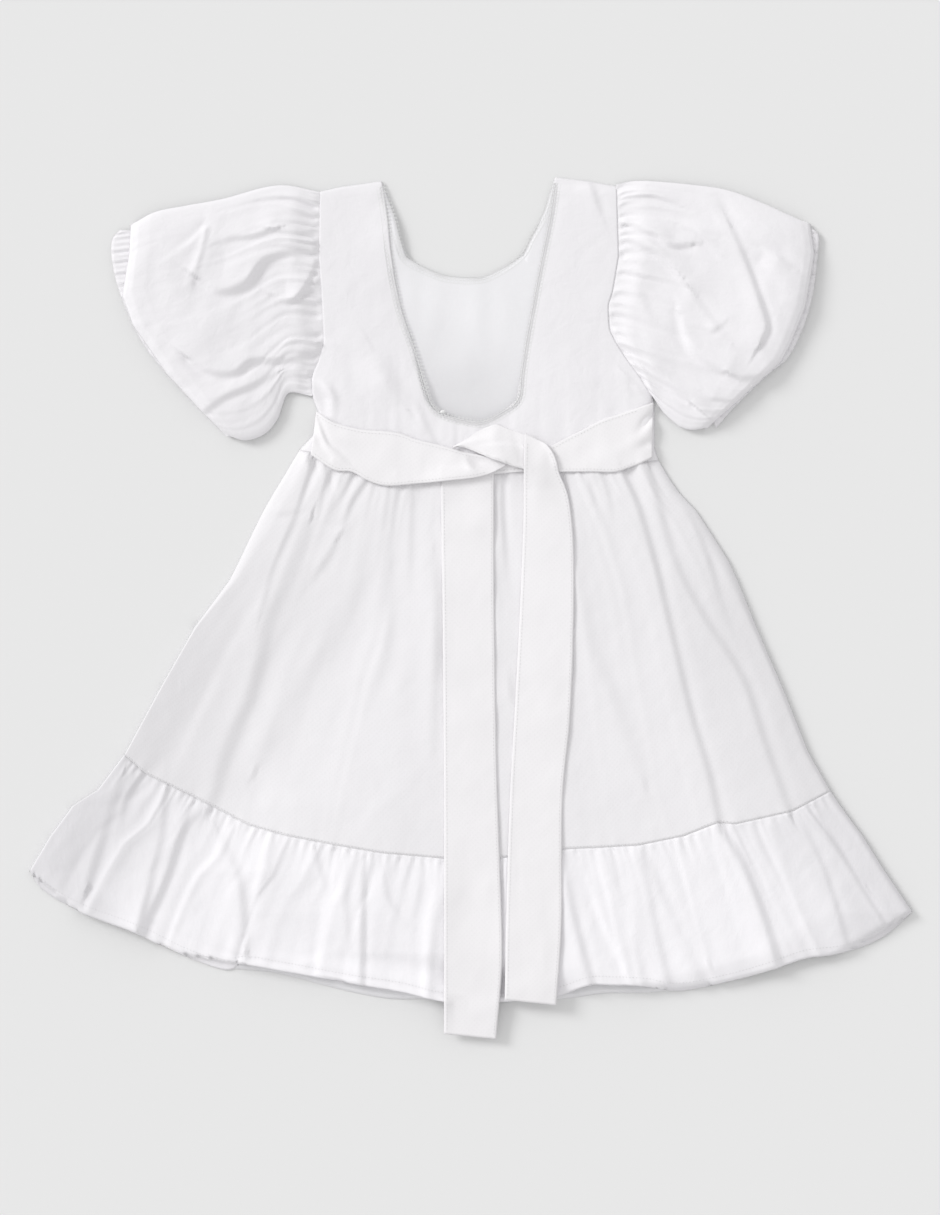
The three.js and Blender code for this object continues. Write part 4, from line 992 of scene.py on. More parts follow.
def sleeve_surface(spec, folds, seed):
    """A puff from the armhole to its end, with its last rows turned in. t goes from 0 at the armhole
    to 1 at the end, and q from -1 to 1 across."""
    mirror = 1 if spec["side"] == "left" else -1
    down, across = crowded(112, 0.15), (1 - np.cos(math.pi * np.linspace(0, 1, 150))) / 2
    armhole = edge_between(spec["shoulder"][0][1], spec["underarm"][0][1], spec["side"])
    armhole[0], armhole[-1] = spec["shoulder"][0], spec["underarm"][0]
    armhole[1:-1, 0] += ARMHOLE_TUCK * mirror
    plan = patch(armhole, spec["end"], curve(spec["shoulder"], 80), curve(spec["underarm"], 80), across, down)
    plan = np.concatenate([plan, [plan[-1 - k] for k in TURN_ROWS]])
    x, y = plan[..., 0], plan[..., 1]
    t = np.concatenate([down, np.ones(len(TURN_ROWS))])[:, None] + 0 * x
    q = 2 * across[None, :] - 1 + 0 * x
    crown = np.interp(t, PUFF["along"], PUFF[spec["side"]])
    crown[-len(TURN_ROWS):] = np.array(TURN_HEIGHTS)[:, None]
    start = np.maximum(body_level(x[0] + ARMHOLE_TUCK * mirror, y[0]), ARMHOLE_LEAST)
    crown = mix(start[None, :], crown, smooth(t, 0, 0.16))
    edge = mix(EDGE_HEIGHT, EDGE_SHARE * crown, smooth(t, 0, 0.25))
    power = mix(9.0, 4.2, smooth(t, 0, 0.3))
    dome = np.sqrt(np.clip(1 - np.abs(q) ** power, 0, 1))
    along, depth = runs(plan)
    along = along[len(plan) // 3] + 0 * along
    heads = gathers(along * 1.25, depth, seed, SLEEVE_WAVES)
    heads += gathers(along * 1.4, np.maximum(depth[-1] - depth, 0), seed + 20, CUFF_GATHERS)
    relief = heads + fold_field(x, y, folds, *SLEEVE_SOFTNESS) + crumpled(x * mirror, y, *SLEEVE_CRUMPLE)
    relief = relief * smooth(depth, 0.5, 6) - 0.7 * np.exp(-(depth / 1.4) ** 2)
    relief *= np.minimum(dome * 1.6, 1.0) * np.concatenate([np.ones(len(down)), TURN_RELIEF])[:, None]
    top = edge + (crown - edge) * dome + relief
    top = np.maximum(top, edge)
    low = mix(FRONT_LEVEL + CLOTH, 1.0, smooth(t, 0, 0.2))
    bottom = low + (edge - low) * np.abs(q) ** 9
    y = y - 0.35 * heads * (1 - dome) * q
    uv = np.dstack([along * SLEEVE_FULLNESS, depth])
    return tube_surface(np.dstack([x, y, top]), np.dstack([x, y, bottom]), uv, uv)


def cuff_surface(spec, seed):
    """A short gathered band inside a sleeve's end, with t and q as on the sleeve."""
    rows, across = np.linspace(0, 1, 12), (1 - np.cos(math.pi * np.linspace(0, 1, 170))) / 2
    start, end = curve(spec["cuff_start"], 80), curve(spec["cuff_end"], 80)
    plan = patch(start, end, [start[0], end[0]], [start[-1], end[-1]], across, rows)
    x, y = plan[..., 0], plan[..., 1]
    q = 2 * across[None, :] - 1 + 0 * x
    t = rows[:, None] + 0 * x
    along = runs(plan)[0]
    crown = mix(5.4, 3.9, t)
    pleats = noise_line(seed, 4.2, 600)(along + 300 + 2.0 * t) * mix(0.9, 0.35, smooth(t, 0.75, 1.0))
    pleats += noise_line(seed + 1, 9, 600)(along + 300) * 0.5
    dome = np.sqrt(np.clip(1 - np.abs(q) ** 4, 0, 1))
    top = EDGE_HEIGHT + (crown - EDGE_HEIGHT) * dome + pleats * np.minimum(dome * 1.5, 1)
    bottom = 1.0 + 1.2 * np.abs(q) ** 9 + 0.15 * pleats * (1 - np.abs(q) ** 9)
    uv = np.dstack([along * CUFF_FULLNESS, CUFF_DEPTH * t])
    return tube_surface(np.dstack([x, y, top]), np.dstack([x, y, bottom]), uv, uv)


# The sash lies on a height map of what is under it


def tree_of(surface):
    """A search tree over a surface, for looking up heights."""
    return BVHTree.FromPolygons(surface["points"].tolist(), surface["faces"].tolist())


def height_map(trees, low, high):
    """The highest points of some surfaces, on a grid."""
    xs, ys = np.arange(low[0], high[0] + RASTER, RASTER), np.arange(low[1], high[1] + RASTER, RASTER)
    level = np.zeros((len(xs), len(ys)))
    for i, x in enumerate(xs):
        for j, y in enumerate(ys):
            for tree in trees:
                hit = tree.ray_cast((x, y, RAY_START), (0, 0, -1))[0]
                if hit is not None:
                    level[i, j] = max(level[i, j], hit.z)
    return xs, ys, level


def filtered(level, reach, how):
    """Runs a window of 2 * reach + 1 cells over a height map, along each axis in turn."""
    out = level.copy()
    for axis in (0, 1):
        pad = [(reach, reach) if k == axis else (0, 0) for k in (0, 1)]
        wide = np.pad(out, pad, mode="edge")
        slices = [np.take(wide, range(k, k + out.shape[axis]), axis=axis) for k in range(2 * reach + 1)]
        out = how(slices)
    return out


def widened(level, reach):
    return filtered(level, reach, lambda s: np.maximum.reduce(s))


def softened(level, reach):
    return filtered(level, reach, lambda s: sum(s) / len(s))


def ground_height(ground, x, y, lift):
    """Bilinear reading of a height map."""
    xs, ys, level = ground
    gx = np.clip((x - xs[0]) / RASTER, 0, len(xs) - 1.001)
    gy = np.clip((y - ys[0]) / RASTER, 0, len(ys) - 1.001)
    ix, iy = gx.astype(int), gy.astype(int)
    fx, fy = gx - ix, gy - iy
    near = mix(level[ix, iy], level[ix + 1, iy], fx)
    far = mix(level[ix, iy + 1], level[ix + 1, iy + 1], fx)
    return mix(near, far, fy) + lift


def drape_ground(trees, low, high, reach, soften):
    """The height map that cloth lies on: it spans hollows and is nowhere below what is under it."""
    xs, ys, level = height_map(trees, low, high)
    top = widened(level, reach)
    return xs, ys, np.maximum(softened(top, soften), level)


SASH_LINES = 26             # points across the sash


def band_surface(name, ground, lift, columns):
    """A band of the sash, across the waist."""
    spec, folds = SASH_EDGES[name], SASH_FOLDS[name]
    ends = [[spec["upper"][k], spec["lower"][k]] for k in (0, -1)]
    grid = patch(curve(spec["upper"], 80), curve(spec["lower"], 80), *ends,
                 np.linspace(0, 1, columns), np.linspace(0, 1, SASH_LINES))
    x, y, along, depth = laid_out(grid)
    height = ground_height(ground, x, y, lift) + fold_field(x, y, folds) + crumpled(x + 70, y, *BAND_CRUMPLE)
    return cloth_surface(x, y, height, along, depth)


TAIL_FREE = -262       # where the tails leave the ruffle
TAIL_DROOP = 0.07      # how fast a tail's pressed cloth can come down, as a slope
TAIL_ROWS = 240


def tail_surface(name, ground, lift):
    """A hanging tail of the sash, stiff enough to come down slowly beyond the ruffle."""
    spec, folds = TAILS[name], SASH_FOLDS[name]
    left, right = curve(spec["left"], 200), curve(spec["right"], 200)
    grid = patch([left[0], right[0]], [left[-1], right[-1]], left, right,
                 np.linspace(0, 1, SASH_LINES), np.linspace(0, 1, TAIL_ROWS))
    x, y, along, depth = laid_out(grid)
    height = ground_height(ground, x, y, lift)
    step = np.diff(depth, axis=0)
    for k in range(1, TAIL_ROWS):
        carried = mix(height[k - 1], height[k - 1].mean(), 0.12) - TAIL_DROOP * step[k - 1]
        height[k] = np.where(y[k] < TAIL_FREE, np.maximum(height[k], carried), height[k])
    height += fold_field(x, y, folds) + crumpled(x + 170, y, *TAIL_CRUMPLE)
    height += 0.25 * noise_line(SEED + 230, 52, 600)(depth + spec["left"][0][0])
    return cloth_surface(x, y, height, along, depth)


# The rows that roll under the knot's lower edge: share of the way back up, and rise
KNOT_CURL = ((0.03, -0.5), (0.09, -1.5), (0.17, -2.4), (0.25, -3.0))


def knot_surface(ground):
    """The flap of the half knot: pinched at its left end, with its lower edge rolled under."""
    across, down = np.linspace(0, 1, 70), np.linspace(0, 1, 26)
    upper, lower = curve(KNOT["upper"], 80), curve(KNOT["lower"], 80)
    grid = patch(upper, lower, [upper[0], lower[0]], [upper[-1], lower[-1]], across, down)
    curled = np.stack([mix(grid[-1], grid[0], share) for share, _ in KNOT_CURL])
    whole = np.concatenate([grid, curled])
    x, y, along, depth = laid_out(grid)
    lift = np.interp(across, np.linspace(0, 1, len(KNOT["lift"])), KNOT["lift"])[None, :]
    crown = 1.0 + (lift - 1.0) * smooth(down[:, None], 0, 0.45) * (0.8 + 0.2 * down[:, None])
    height = ground_height(ground, x, y, 0) + crown + fold_field(x, y, KNOT_FOLDS)
    sink = np.array([drop for _, drop in KNOT_CURL])[:, None] * smooth(across, 0, 0.3)[None, :]
    height = np.concatenate([height, height[-1] + sink])
    depth = np.concatenate([depth, depth[-1] + np.arange(1, len(KNOT_CURL) + 1)[:, None]])
    along = np.concatenate([along, along[-1] + np.zeros((len(KNOT_CURL), 1))])
    return cloth_surface(whole[..., 0], whole[..., 1], height, along, depth)


# Cords, lace and stitches, which follow paths


def on_cloth(path, trees, lift, seat=None):
    """Gives a plan path its heights, from the highest cloth under it or under another path, its seat."""
    points = []
    for (x, y), (seat_x, seat_y) in zip(path, path if seat is None else seat):
        hits = [tree.ray_cast((seat_x, seat_y, RAY_START), (0, 0, -1))[0] for tree in trees]
        levels = [hit.z for hit in hits if hit is not None]
        if levels:
            points.append((x, y, max(levels) + lift))
    return np.array(points)


CORD_SIDES = 6


def cord_mesh(path, radius, material, name):
    """A closed round cord along a path."""
    run = np.gradient(path, axis=0)
    run /= np.linalg.norm(run, axis=1)[:, None]
    across = np.cross(run, (0, 0, 1.0))
    across /= np.linalg.norm(across, axis=1)[:, None]
    up = np.cross(across, run)
    turn = np.linspace(0, 2 * math.pi, CORD_SIDES, endpoint=False)
    cos, sin = np.cos(turn)[None, :, None], np.sin(turn)[None, :, None]
    rings = path[:, None] + radius * (cos * across[:, None] + sin * up[:, None])
    count = len(path)
    index = np.arange(count * CORD_SIDES).reshape(count, CORD_SIDES)
    after = np.roll(index, -1, axis=1)
    faces = np.stack([index[:-1], after[:-1], after[1:], index[1:]], axis=-1).reshape(-1, 4).tolist()
    faces += [index[0][::-1].tolist(), index[-1].tolist()]
    uv = np.column_stack([np.tile(turn * radius, count), np.repeat(np.arange(count) * 1.0, CORD_SIDES)])
    return made(name, rings.reshape(-1, 3), faces, uv, material)


THREAD_FLATNESS = 0.35      # how high a pressed thread is for its width


def path_tree(name, motif):
    """A Geometry Nodes tree that repeats a motif along a path and makes it one real mesh."""
    tree = bpy.data.node_groups.new(name, "GeometryNodeTree")
    face = tree.interface
    face.new_socket("Path", in_out="INPUT", socket_type="NodeSocketGeometry")
    for label in ("Spacing", "Size", "Thread"):
        face.new_socket(label, in_out="INPUT", socket_type="NodeSocketFloat").default_value = MM
    face.new_socket("Material", in_out="INPUT", socket_type="NodeSocketMaterial")
    face.new_socket("Mesh", in_out="OUTPUT", socket_type="NodeSocketGeometry")
    given, out = tree.nodes.new("NodeGroupInput"), tree.nodes.new("NodeGroupOutput")
    line = node(tree, "GeometryNodeMeshToCurve", {0: given.outputs["Path"]})
    spaced = node(tree, "GeometryNodeResampleCurve",
                  {"Curve": line.outputs[0], "Length": given.outputs["Spacing"]}, mode="LENGTH")
    tangent = node(tree, "GeometryNodeInputTangent")
    turned = node(tree, "FunctionNodeAlignRotationToVector", {"Vector": tangent.outputs[0]},
                  axis="X", pivot_axis="AUTO")
    placed = node(tree, "GeometryNodeInstanceOnPoints",
                  {"Points": spaced.outputs[0], "Instance": motif(tree, given),
                   "Rotation": turned.outputs[0]})
    real = node(tree, "GeometryNodeRealizeInstances", {0: placed.outputs[0]})
    coloured = node(tree, "GeometryNodeSetMaterial",
                    {"Geometry": real.outputs[0], "Material": given.outputs["Material"]})
    shaded = node(tree, "GeometryNodeSetShadeSmooth", {0: coloured.outputs[0]})
    tree.links.new(shaded.outputs[0], out.inputs[0])
    return tree


# The lace's rings: radius and distance from the middle, as shares of Size
LACE_RINGS = ((0.92, -1.0), (0.86, 0.85), (0.5, 2.2))
RING_CORNERS = 9


def ring_of_thread(tree, given, share, moved):
    """A ring of square thread that lies flat."""
    size = sums(tree, "MULTIPLY", given.outputs["Size"], share)
    thread = given.outputs["Thread"]
    ring = node(tree, "GeometryNodeCurvePrimitiveCircle", {"Resolution": RING_CORNERS, "Radius": size})
    square = node(tree, "GeometryNodeCurvePrimitiveCircle", {"Resolution": 4, "Radius": thread})
    level = node(tree, "GeometryNodeTransform",
                 {"Geometry": square.outputs[0], "Rotation": (0.0, 0.0, math.pi / 4)})
    solid = node(tree, "GeometryNodeCurveToMesh",
                 {"Curve": ring.outputs[0], "Profile Curve": level.outputs[0]})
    shift = node(tree, "ShaderNodeCombineXYZ", {1: sums(tree, "MULTIPLY", given.outputs["Size"], moved)})
    pressed = node(tree, "GeometryNodeTransform",
                   {"Geometry": solid.outputs[0], "Translation": shift.outputs[0],
                    "Scale": (1.0, 1.0, THREAD_FLATNESS)})
    return pressed.outputs[0]


def lace_motif(tree, given):
    """Two openwork rings side by side and a small loop on the outer edge."""
    join = tree.nodes.new("GeometryNodeJoinGeometry")
    for share, moved in LACE_RINGS:
        tree.links.new(ring_of_thread(tree, given, share, moved), join.inputs[0])
    return join.outputs[0]


def stitch_motif(tree, given):
    """One stitch: a short rounded bit of thread lying along the path."""
    ball = node(tree, "GeometryNodeMeshIcoSphere", {"Radius": 1.0, "Subdivisions": 1})
    stretch = node(tree, "ShaderNodeCombineXYZ", {0: given.outputs["Size"], 1: given.outputs["Thread"],
                                                  2: given.outputs["Thread"]})
    laid = node(tree, "GeometryNodeTransform", {"Geometry": ball.outputs[0], "Scale": stretch.outputs[0]})
    return laid.outputs[0]


def along_paths(name, tree, paths, material, **sizes):
    """Runs a path tree over some paths, in millimetres, and keeps its result as one plain mesh."""
    vertices, edges = [], []
    for path in paths:
        start = len(vertices)
        vertices += in_metres(path).tolist()
        edges += [(k, k + 1) for k in range(start, start + len(path) - 1)]
    line = bpy.data.meshes.new(name + " path")
    line.from_pydata(vertices, edges, [])
    carrier = added(name + " path", line)
    work = carrier.modifiers.new("Along", "NODES")
    work.node_group = tree
    for item in tree.interface.items_tree:
        if item.in_out == "INPUT" and item.name in sizes:
            work[item.identifier] = sizes[item.name] * MM
        if item.in_out == "INPUT" and item.name == "Material":
            work[item.identifier] = material
    seen = carrier.evaluated_get(bpy.context.evaluated_depsgraph_get())
    mesh = bpy.data.meshes.new_from_object(seen)
    mesh.name = name
    bpy.data.objects.remove(carrier)
    if not mesh.uv_layers:
        mesh.uv_layers.new(name="cloth")
    return added(name, mesh)


def merged(name, things):
    """Joins objects into one with flat faces, with its cloth coordinates taken from its plan."""
    total = bpy.data.meshes.new(name)
    vertices, faces, offset = [], [], 0
    for thing in things:
        mesh = thing.data
        vertices += [tuple(v.co) for v in mesh.vertices]
        faces += [tuple(offset + k for k in face.vertices) for face in mesh.polygons]
        offset += len(mesh.vertices)
    material = things[0].data.materials[0]
    total.from_pydata(vertices, [], faces)
    for thing in things:
        bpy.data.objects.remove(thing)
    return finished(total, np.array(vertices)[:, :2], material, False)


# Shader groups


def shader_group(name, inputs, outputs):
    """A node group with named numbers as sockets. Inputs are given with their usual values."""
    group = bpy.data.node_groups.new(name, "ShaderNodeTree")
    for label, value in inputs.items():
        group.interface.new_socket(label, in_out="INPUT", socket_type="NodeSocketFloat").default_value = value
    for label in outputs:
        group.interface.new_socket(label, in_out="OUTPUT", socket_type="NodeSocketFloat")
    return group, group.nodes.new("NodeGroupInput"), group.nodes.new("NodeGroupOutput")


def node(tree, kind, links=None, **settings):
    """A node with its settings, and its inputs given as values or as other nodes' outputs."""
    made_node = tree.nodes.new(kind)
    for label, value in settings.items():
        setattr(made_node, label, value)
    for key, value in (links or {}).items():
        if isinstance(value, bpy.types.NodeSocket):
            tree.links.new(value, made_node.inputs[key])
        else:
            made_node.inputs[key].default_value = value
    return made_node


def sums(tree, how, a, b=0.0, clamp=False):
    """A sum of one or two numbers, which may be other nodes' outputs."""
    return node(tree, "ShaderNodeMath", {0: a, 1: b}, operation=how, use_clamp=clamp).outputs[0]


def cloth_place(tree):
    """Cloth coordinates in millimetres, from the piece's own map, which is in metres of cloth."""
    where = node(tree, "ShaderNodeUVMap", uv_map="cloth").outputs[0]
    return node(tree, "ShaderNodeVectorMath", {0: where, "Scale": 1000.0}, operation="SCALE").outputs[0]


def weave_group():
    """Fine plain weave: threads over and under, with uneven thicker threads here and there."""
    group, given, out = shader_group("Plain weave", {"Threads per metre": 2600.0, "Slub": 0.5},
                                     ["Height", "Slubs"])
    place_mm = cloth_place(group)
    axes = node(group, "ShaderNodeSeparateXYZ", {0: place_mm})
    turn = sums(group, "MULTIPLY", given.outputs[0], 2 * math.pi / 1000)
    waves = []
    for axis in (0, 1):
        waves.append(sums(group, "SINE", sums(group, "MULTIPLY", axes.outputs[axis], turn)))
    threads = sums(group, "MULTIPLY", waves[0], waves[1])
    slubs = []
    for stretch in ((0.12, 3.4, 1.0), (3.4, 0.12, 1.0)):
        long_way = node(group, "ShaderNodeVectorMath", {0: place_mm, 1: stretch}, operation="MULTIPLY")
        noise = node(group, "ShaderNodeTexNoise",
                     {"Vector": long_way.outputs[0], "Scale": 1.0, "Detail": 2.0})
        slubs.append(noise.outputs[0])
    both = sums(group, "ADD", slubs[0], slubs[1])
    uneven = sums(group, "MULTIPLY", sums(group, "SUBTRACT", both, 1.0), given.outputs[1])
    height = sums(group, "ADD", sums(group, "MULTIPLY", threads, 0.25), uneven)
    group.links.new(height, out.inputs[0])
    group.links.new(both, out.inputs[1])
    return group


def dots_group():
    """Small woven dots in staggered rows."""
    group, given, out = shader_group("Woven dots", {"Pitch in mm": 3.8, "Size in mm": 0.75}, ["Dots"])
    place_mm = cloth_place(group)
    axes = node(group, "ShaderNodeSeparateXYZ", {0: place_mm})
    rings = []
    for offset in (0.0, 0.5):
        near = []
        for axis in (0, 1):
            cell = sums(group, "DIVIDE", axes.outputs[axis], given.outputs[0])
            moved = sums(group, "ADD", cell, offset)
            part = node(group, "ShaderNodeMath", {0: moved, 1: -0.5, 2: 0.5}, operation="WRAP").outputs[0]
            near.append(sums(group, "MULTIPLY", part, given.outputs[0]))
        across = node(group, "ShaderNodeCombineXYZ", {0: near[0], 1: near[1]}).outputs[0]
        away = node(group, "ShaderNodeVectorMath", {0: across}, operation="LENGTH").outputs["Value"]
        edge = sums(group, "DIVIDE", away, given.outputs[1])
        rings.append(sums(group, "SUBTRACT", 1.35, edge, clamp=True))
    group.links.new(sums(group, "MAXIMUM", rings[0], rings[1]), out.inputs[0])
    return group


def crumple_group():
    """Soft small creases, as in washed cotton that hasn't been ironed."""
    group, given, out = shader_group("Washed creases", {"Size in mm": 14.0, "Sharpness": 0.5}, ["Height"])
    place_mm = cloth_place(group)
    size = sums(group, "DIVIDE", 1.0, given.outputs[0])
    soft = node(group, "ShaderNodeTexNoise",
                {"Vector": place_mm, "Scale": size, "Detail": 3.0, "Distortion": 0.6})
    ridged = node(group, "ShaderNodeTexNoise",
                  {"Vector": place_mm, "Scale": sums(group, "MULTIPLY", size, 1.9), "Detail": 2.0,
                   "Distortion": 1.1})
    fold = sums(group, "ABSOLUTE", sums(group, "SUBTRACT", ridged.outputs[0], 0.5))
    crease = sums(group, "MULTIPLY", fold, given.outputs[1])
    group.links.new(sums(group, "SUBTRACT", soft.outputs[0], crease), out.inputs[0])
    return group


def tone_group():
    """Slow changes of tone over a piece, from washing and the threads' own colour."""
    group, given, out = shader_group("Uneven tone", {"Size in mm": 60.0}, ["Tone"])
    place_mm = cloth_place(group)
    size = sums(group, "DIVIDE", 1.0, given.outputs[0])
    noise = node(group, "ShaderNodeTexNoise",
                 {"Vector": place_mm, "Scale": size, "Detail": 4.0, "Roughness": 0.6})
    group.links.new(noise.outputs[0], out.inputs[0])
    return group


WAIST_Y = 0.12              # these four are in metres or per metre, as the painted-shade masks use them
WAIST_FADE = 9.0
BODICE_LOW = 0.11
BODICE_FADE = 50.0
OPENING_LEAN = 0.5          # how far the painted shade in the opening leans to the left


def place_axes(group):
    """Where on the dress each point is, in metres."""
    where = node(group, "ShaderNodeTexCoord").outputs["Object"]
    return node(group, "ShaderNodeSeparateXYZ", {0: where})


def side_shade_group():
    """A mask of painted shade that is 1 along the skirt's slanting side seams and 0 from Width inside them;
    it darkens the cloth where the skirt's flanks fall into shade.
    """
    group, given, out = shader_group("Painted shade at the side seams", {"Width": 0.12, "Waist": 0.137, "Flare": 0.55}, ["Mask"])
    axes = place_axes(group)
    below_waist = sums(group, "SUBTRACT", WAIST_Y, axes.outputs[1])
    half_width = sums(group, "ADD", given.outputs[1], sums(group, "MULTIPLY", below_waist, given.outputs[2]))
    aside = sums(group, "SUBTRACT", half_width, sums(group, "ABSOLUTE", axes.outputs[0]))
    share = sums(group, "SUBTRACT", 1.0, sums(group, "DIVIDE", aside, given.outputs[0]), clamp=True)
    low = sums(group, "MULTIPLY", below_waist, WAIST_FADE, clamp=True)
    group.links.new(sums(group, "MULTIPLY", share, low), out.inputs[0])
    return group


def opening_shade_group():
    """A mask of painted shade on the inside of the front: 0 high in the back's opening and 1 at its lower
    left end, where shade falls.
    """
    group, given, out = shader_group("Painted shade low in the opening", {"Top": 0.219, "Length": 0.084}, ["Mask"])
    axes = place_axes(group)
    leant = sums(group, "ADD", axes.outputs[1], sums(group, "MULTIPLY", axes.outputs[0], OPENING_LEAN))
    fallen = sums(group, "SUBTRACT", given.outputs[0], leant)
    share = sums(group, "DIVIDE", fallen, given.outputs[1], clamp=True)
    above = sums(group, "SUBTRACT", axes.outputs[1], BODICE_LOW)
    bodice = sums(group, "MULTIPLY", above, BODICE_FADE, clamp=True)
    group.links.new(sums(group, "MULTIPLY", share, bodice), out.inputs[0])
    return group


# Masks of painted shade: along the skirt's side seams and low in the back's opening.
SIDE_SHADE, OPENING_SHADE = side_shade_group(), opening_shade_group()
WEAVE, DOTS, CREASES, TONE = weave_group(), dots_group(), crumple_group(), tone_group()


def use_group(tree, group, **values):
    """A node that uses a shader group, with some of its inputs set."""
    used = tree.nodes.new("ShaderNodeGroup")
    used.node_tree = group
    for label, value in values.items():
        used.inputs[label.replace("_", " ")].default_value = value
    return used


def blend_colour(tree, share, a, b):
    """Colour a where share is 0 and b where it is 1."""
    a, b = (colour if isinstance(colour, bpy.types.NodeSocket) else (*colour, 1) for colour in (a, b))
    return node(tree, "ShaderNodeMix", {0: share, 6: a, 7: b}, data_type="RGBA").outputs[2]


def over_slubs(tree, weave, low, high):
    """A value that goes from low to high where the cloth's threads get thicker."""
    return node(tree, "ShaderNodeMapRange", {0: weave.outputs[1], 1: 0.7, 2: 1.3, 3: low, 4: high}).outputs[0]


def darker(colour, share):
    return tuple(share * c for c in colour)


def cotton(name, light, dark, dots=0.0, crease=0.5, sheen=0.15, threads=2600.0, sides=0.0, opening=0.0):
    """White cotton. light and dark are its two tones; dots says how strongly dots are woven in; sides
    and opening say how strongly painted shade darkens it along the skirt's side seams and low in the back's
    opening."""
    material = bpy.data.materials.new(name)
    material.use_nodes = True
    tree = material.node_tree
    finish = tree.nodes["Principled BSDF"]
    finish.inputs["Specular IOR Level"].default_value = 0.25
    finish.inputs["Sheen Weight"].default_value = sheen
    finish.inputs["Sheen Roughness"].default_value = 0.5
    tone = use_group(tree, TONE)
    weave = use_group(tree, WEAVE, Threads_per_metre=threads)
    colour = blend_colour(tree, tone.outputs[0], dark, light)
    colour = blend_colour(tree, over_slubs(tree, weave, 0.0, 0.35), colour, darker(dark, 0.94))
    height = sums(tree, "MULTIPLY", weave.outputs[0], 0.05)
    creases = use_group(tree, CREASES)
    height = sums(tree, "ADD", height, sums(tree, "MULTIPLY", creases.outputs[0], crease))
    roughness = over_slubs(tree, weave, 0.86, 0.96)
    if dots:
        woven = use_group(tree, DOTS)
        mask = sums(tree, "MULTIPLY", woven.outputs[0], dots)
        colour = blend_colour(tree, mask, colour, darker(dark, 0.88))
        height = sums(tree, "ADD", height, sums(tree, "MULTIPLY", mask, 0.25))
        roughness = sums(tree, "SUBTRACT", roughness, sums(tree, "MULTIPLY", mask, 0.12))
    # Painted shade: the colour goes towards a darker copy along the side seams and low in the opening, where
    # shade falls.
    for group, strength in ((SIDE_SHADE, sides), (OPENING_SHADE, opening)):
        if strength:
            painted_shade = sums(tree, "MULTIPLY", use_group(tree, group).outputs[0], strength)
            colour = blend_colour(tree, painted_shade, colour, darker(dark, 0.7))
    tree.links.new(colour, finish.inputs["Base Color"])
    tree.links.new(roughness, finish.inputs["Roughness"])
    bump = node(tree, "ShaderNodeBump", {"Height": height, "Strength": 0.6, "Distance": 0.001})
    tree.links.new(bump.outputs[0], finish.inputs["Normal"])
    return material


TWISTED_THREADS = 4000.0

# sides and opening below set the strength of painted shade on the ruffle, the dotted skirt and the inside of
# the front.
PLAIN = cotton("Washed plain cotton", (0.850, 0.836, 0.858), (0.830, 0.816, 0.838), crease=0.9)
RUFFLE_COTTON = cotton("Fine ruffle cotton", (0.892, 0.878, 0.902), (0.872, 0.858, 0.884), crease=0.7,
                       sides=0.5)
FIGURED = cotton("Cotton with woven dots", (0.845, 0.832, 0.851), (0.827, 0.814, 0.833), dots=0.17,
                 sides=0.28)
SASH_COTTON = cotton("Pressed sash cotton", (0.878, 0.863, 0.878), (0.860, 0.845, 0.860), dots=0.17,
                     crease=0.25)
INSIDE = cotton("Wrong side of the cotton", (0.852, 0.846, 0.864), (0.834, 0.828, 0.848), crease=0.4,
                sheen=0.1, opening=0.45)
LACE_THREAD = cotton("Lace thread", (0.9, 0.893, 0.888), (0.87, 0.862, 0.858), crease=0.05,
                     threads=TWISTED_THREADS)
SEWING_THREAD = cotton("Sewing thread", (0.80, 0.795, 0.80), (0.74, 0.735, 0.74), crease=0.1,
                       threads=TWISTED_THREADS)


# The pieces

SKIRT = back_skirt_surface()
SKIRT_LOW_ROW = SKIRT["points"].reshape(SKIRT_ROWS, -1, 3)[-1]
RUFFLE = ruffle_surface((SKIRT_LOW_ROW[:, 0], SKIRT_LOW_ROW[:, 2]))
BODICE = back_bodice_surface()

place(shell("Back_skirt", SKIRT, CLOTH, FIGURED), "cotton_figured", ["back_skirt"],
      flat=(0.58, 0.33), held="laid", rests_on=["front_skirt"], area=0.125)
place(shell("Back_ruffle", RUFFLE, CLOTH, RUFFLE_COTTON), "cotton_plain", ["back_ruffle"],
      flat=(0.78, 0.115), held="gathered", rests_on=["front_ruffle"], area=0.075)
FRONT = front_bodice_surface()
place(shell("Front_skirt", front_skirt_surface(), CLOTH, INSIDE), "cotton_inside", ["front_skirt"],
      flat=(0.58, 0.33), held="laid", area=0.105)
place(shell("Front_ruffle", front_ruffle_surface(), CLOTH, INSIDE), "cotton_inside", ["front_ruffle"],
      flat=(0.78, 0.115), held="gathered", area=0.070)

for label, spec, folds, seed in (("Left", LEFT_SLEEVE, LEFT_SLEEVE_FOLDS, SEED + 110),
                                 ("Right", RIGHT_SLEEVE, RIGHT_SLEEVE_FOLDS, SEED + 160)):
    puff, cuff = sleeve_surface(spec, folds, seed), cuff_surface(spec, SEED + 200)
    place(shell(f"{label}_sleeve", puff, CLOTH, PLAIN), "cotton_plain", [f"sleeve_{spec['side']}"],
          flat=(0.42, 0.18), held="gathered", area=0.062)
    place(shell(f"{label}_cuff", cuff, CLOTH, PLAIN), "cotton_plain", [f"cuff_{spec['side']}"],
          flat=(0.36, 0.03), held="gathered", area=0.0075)

# Lace round both necks

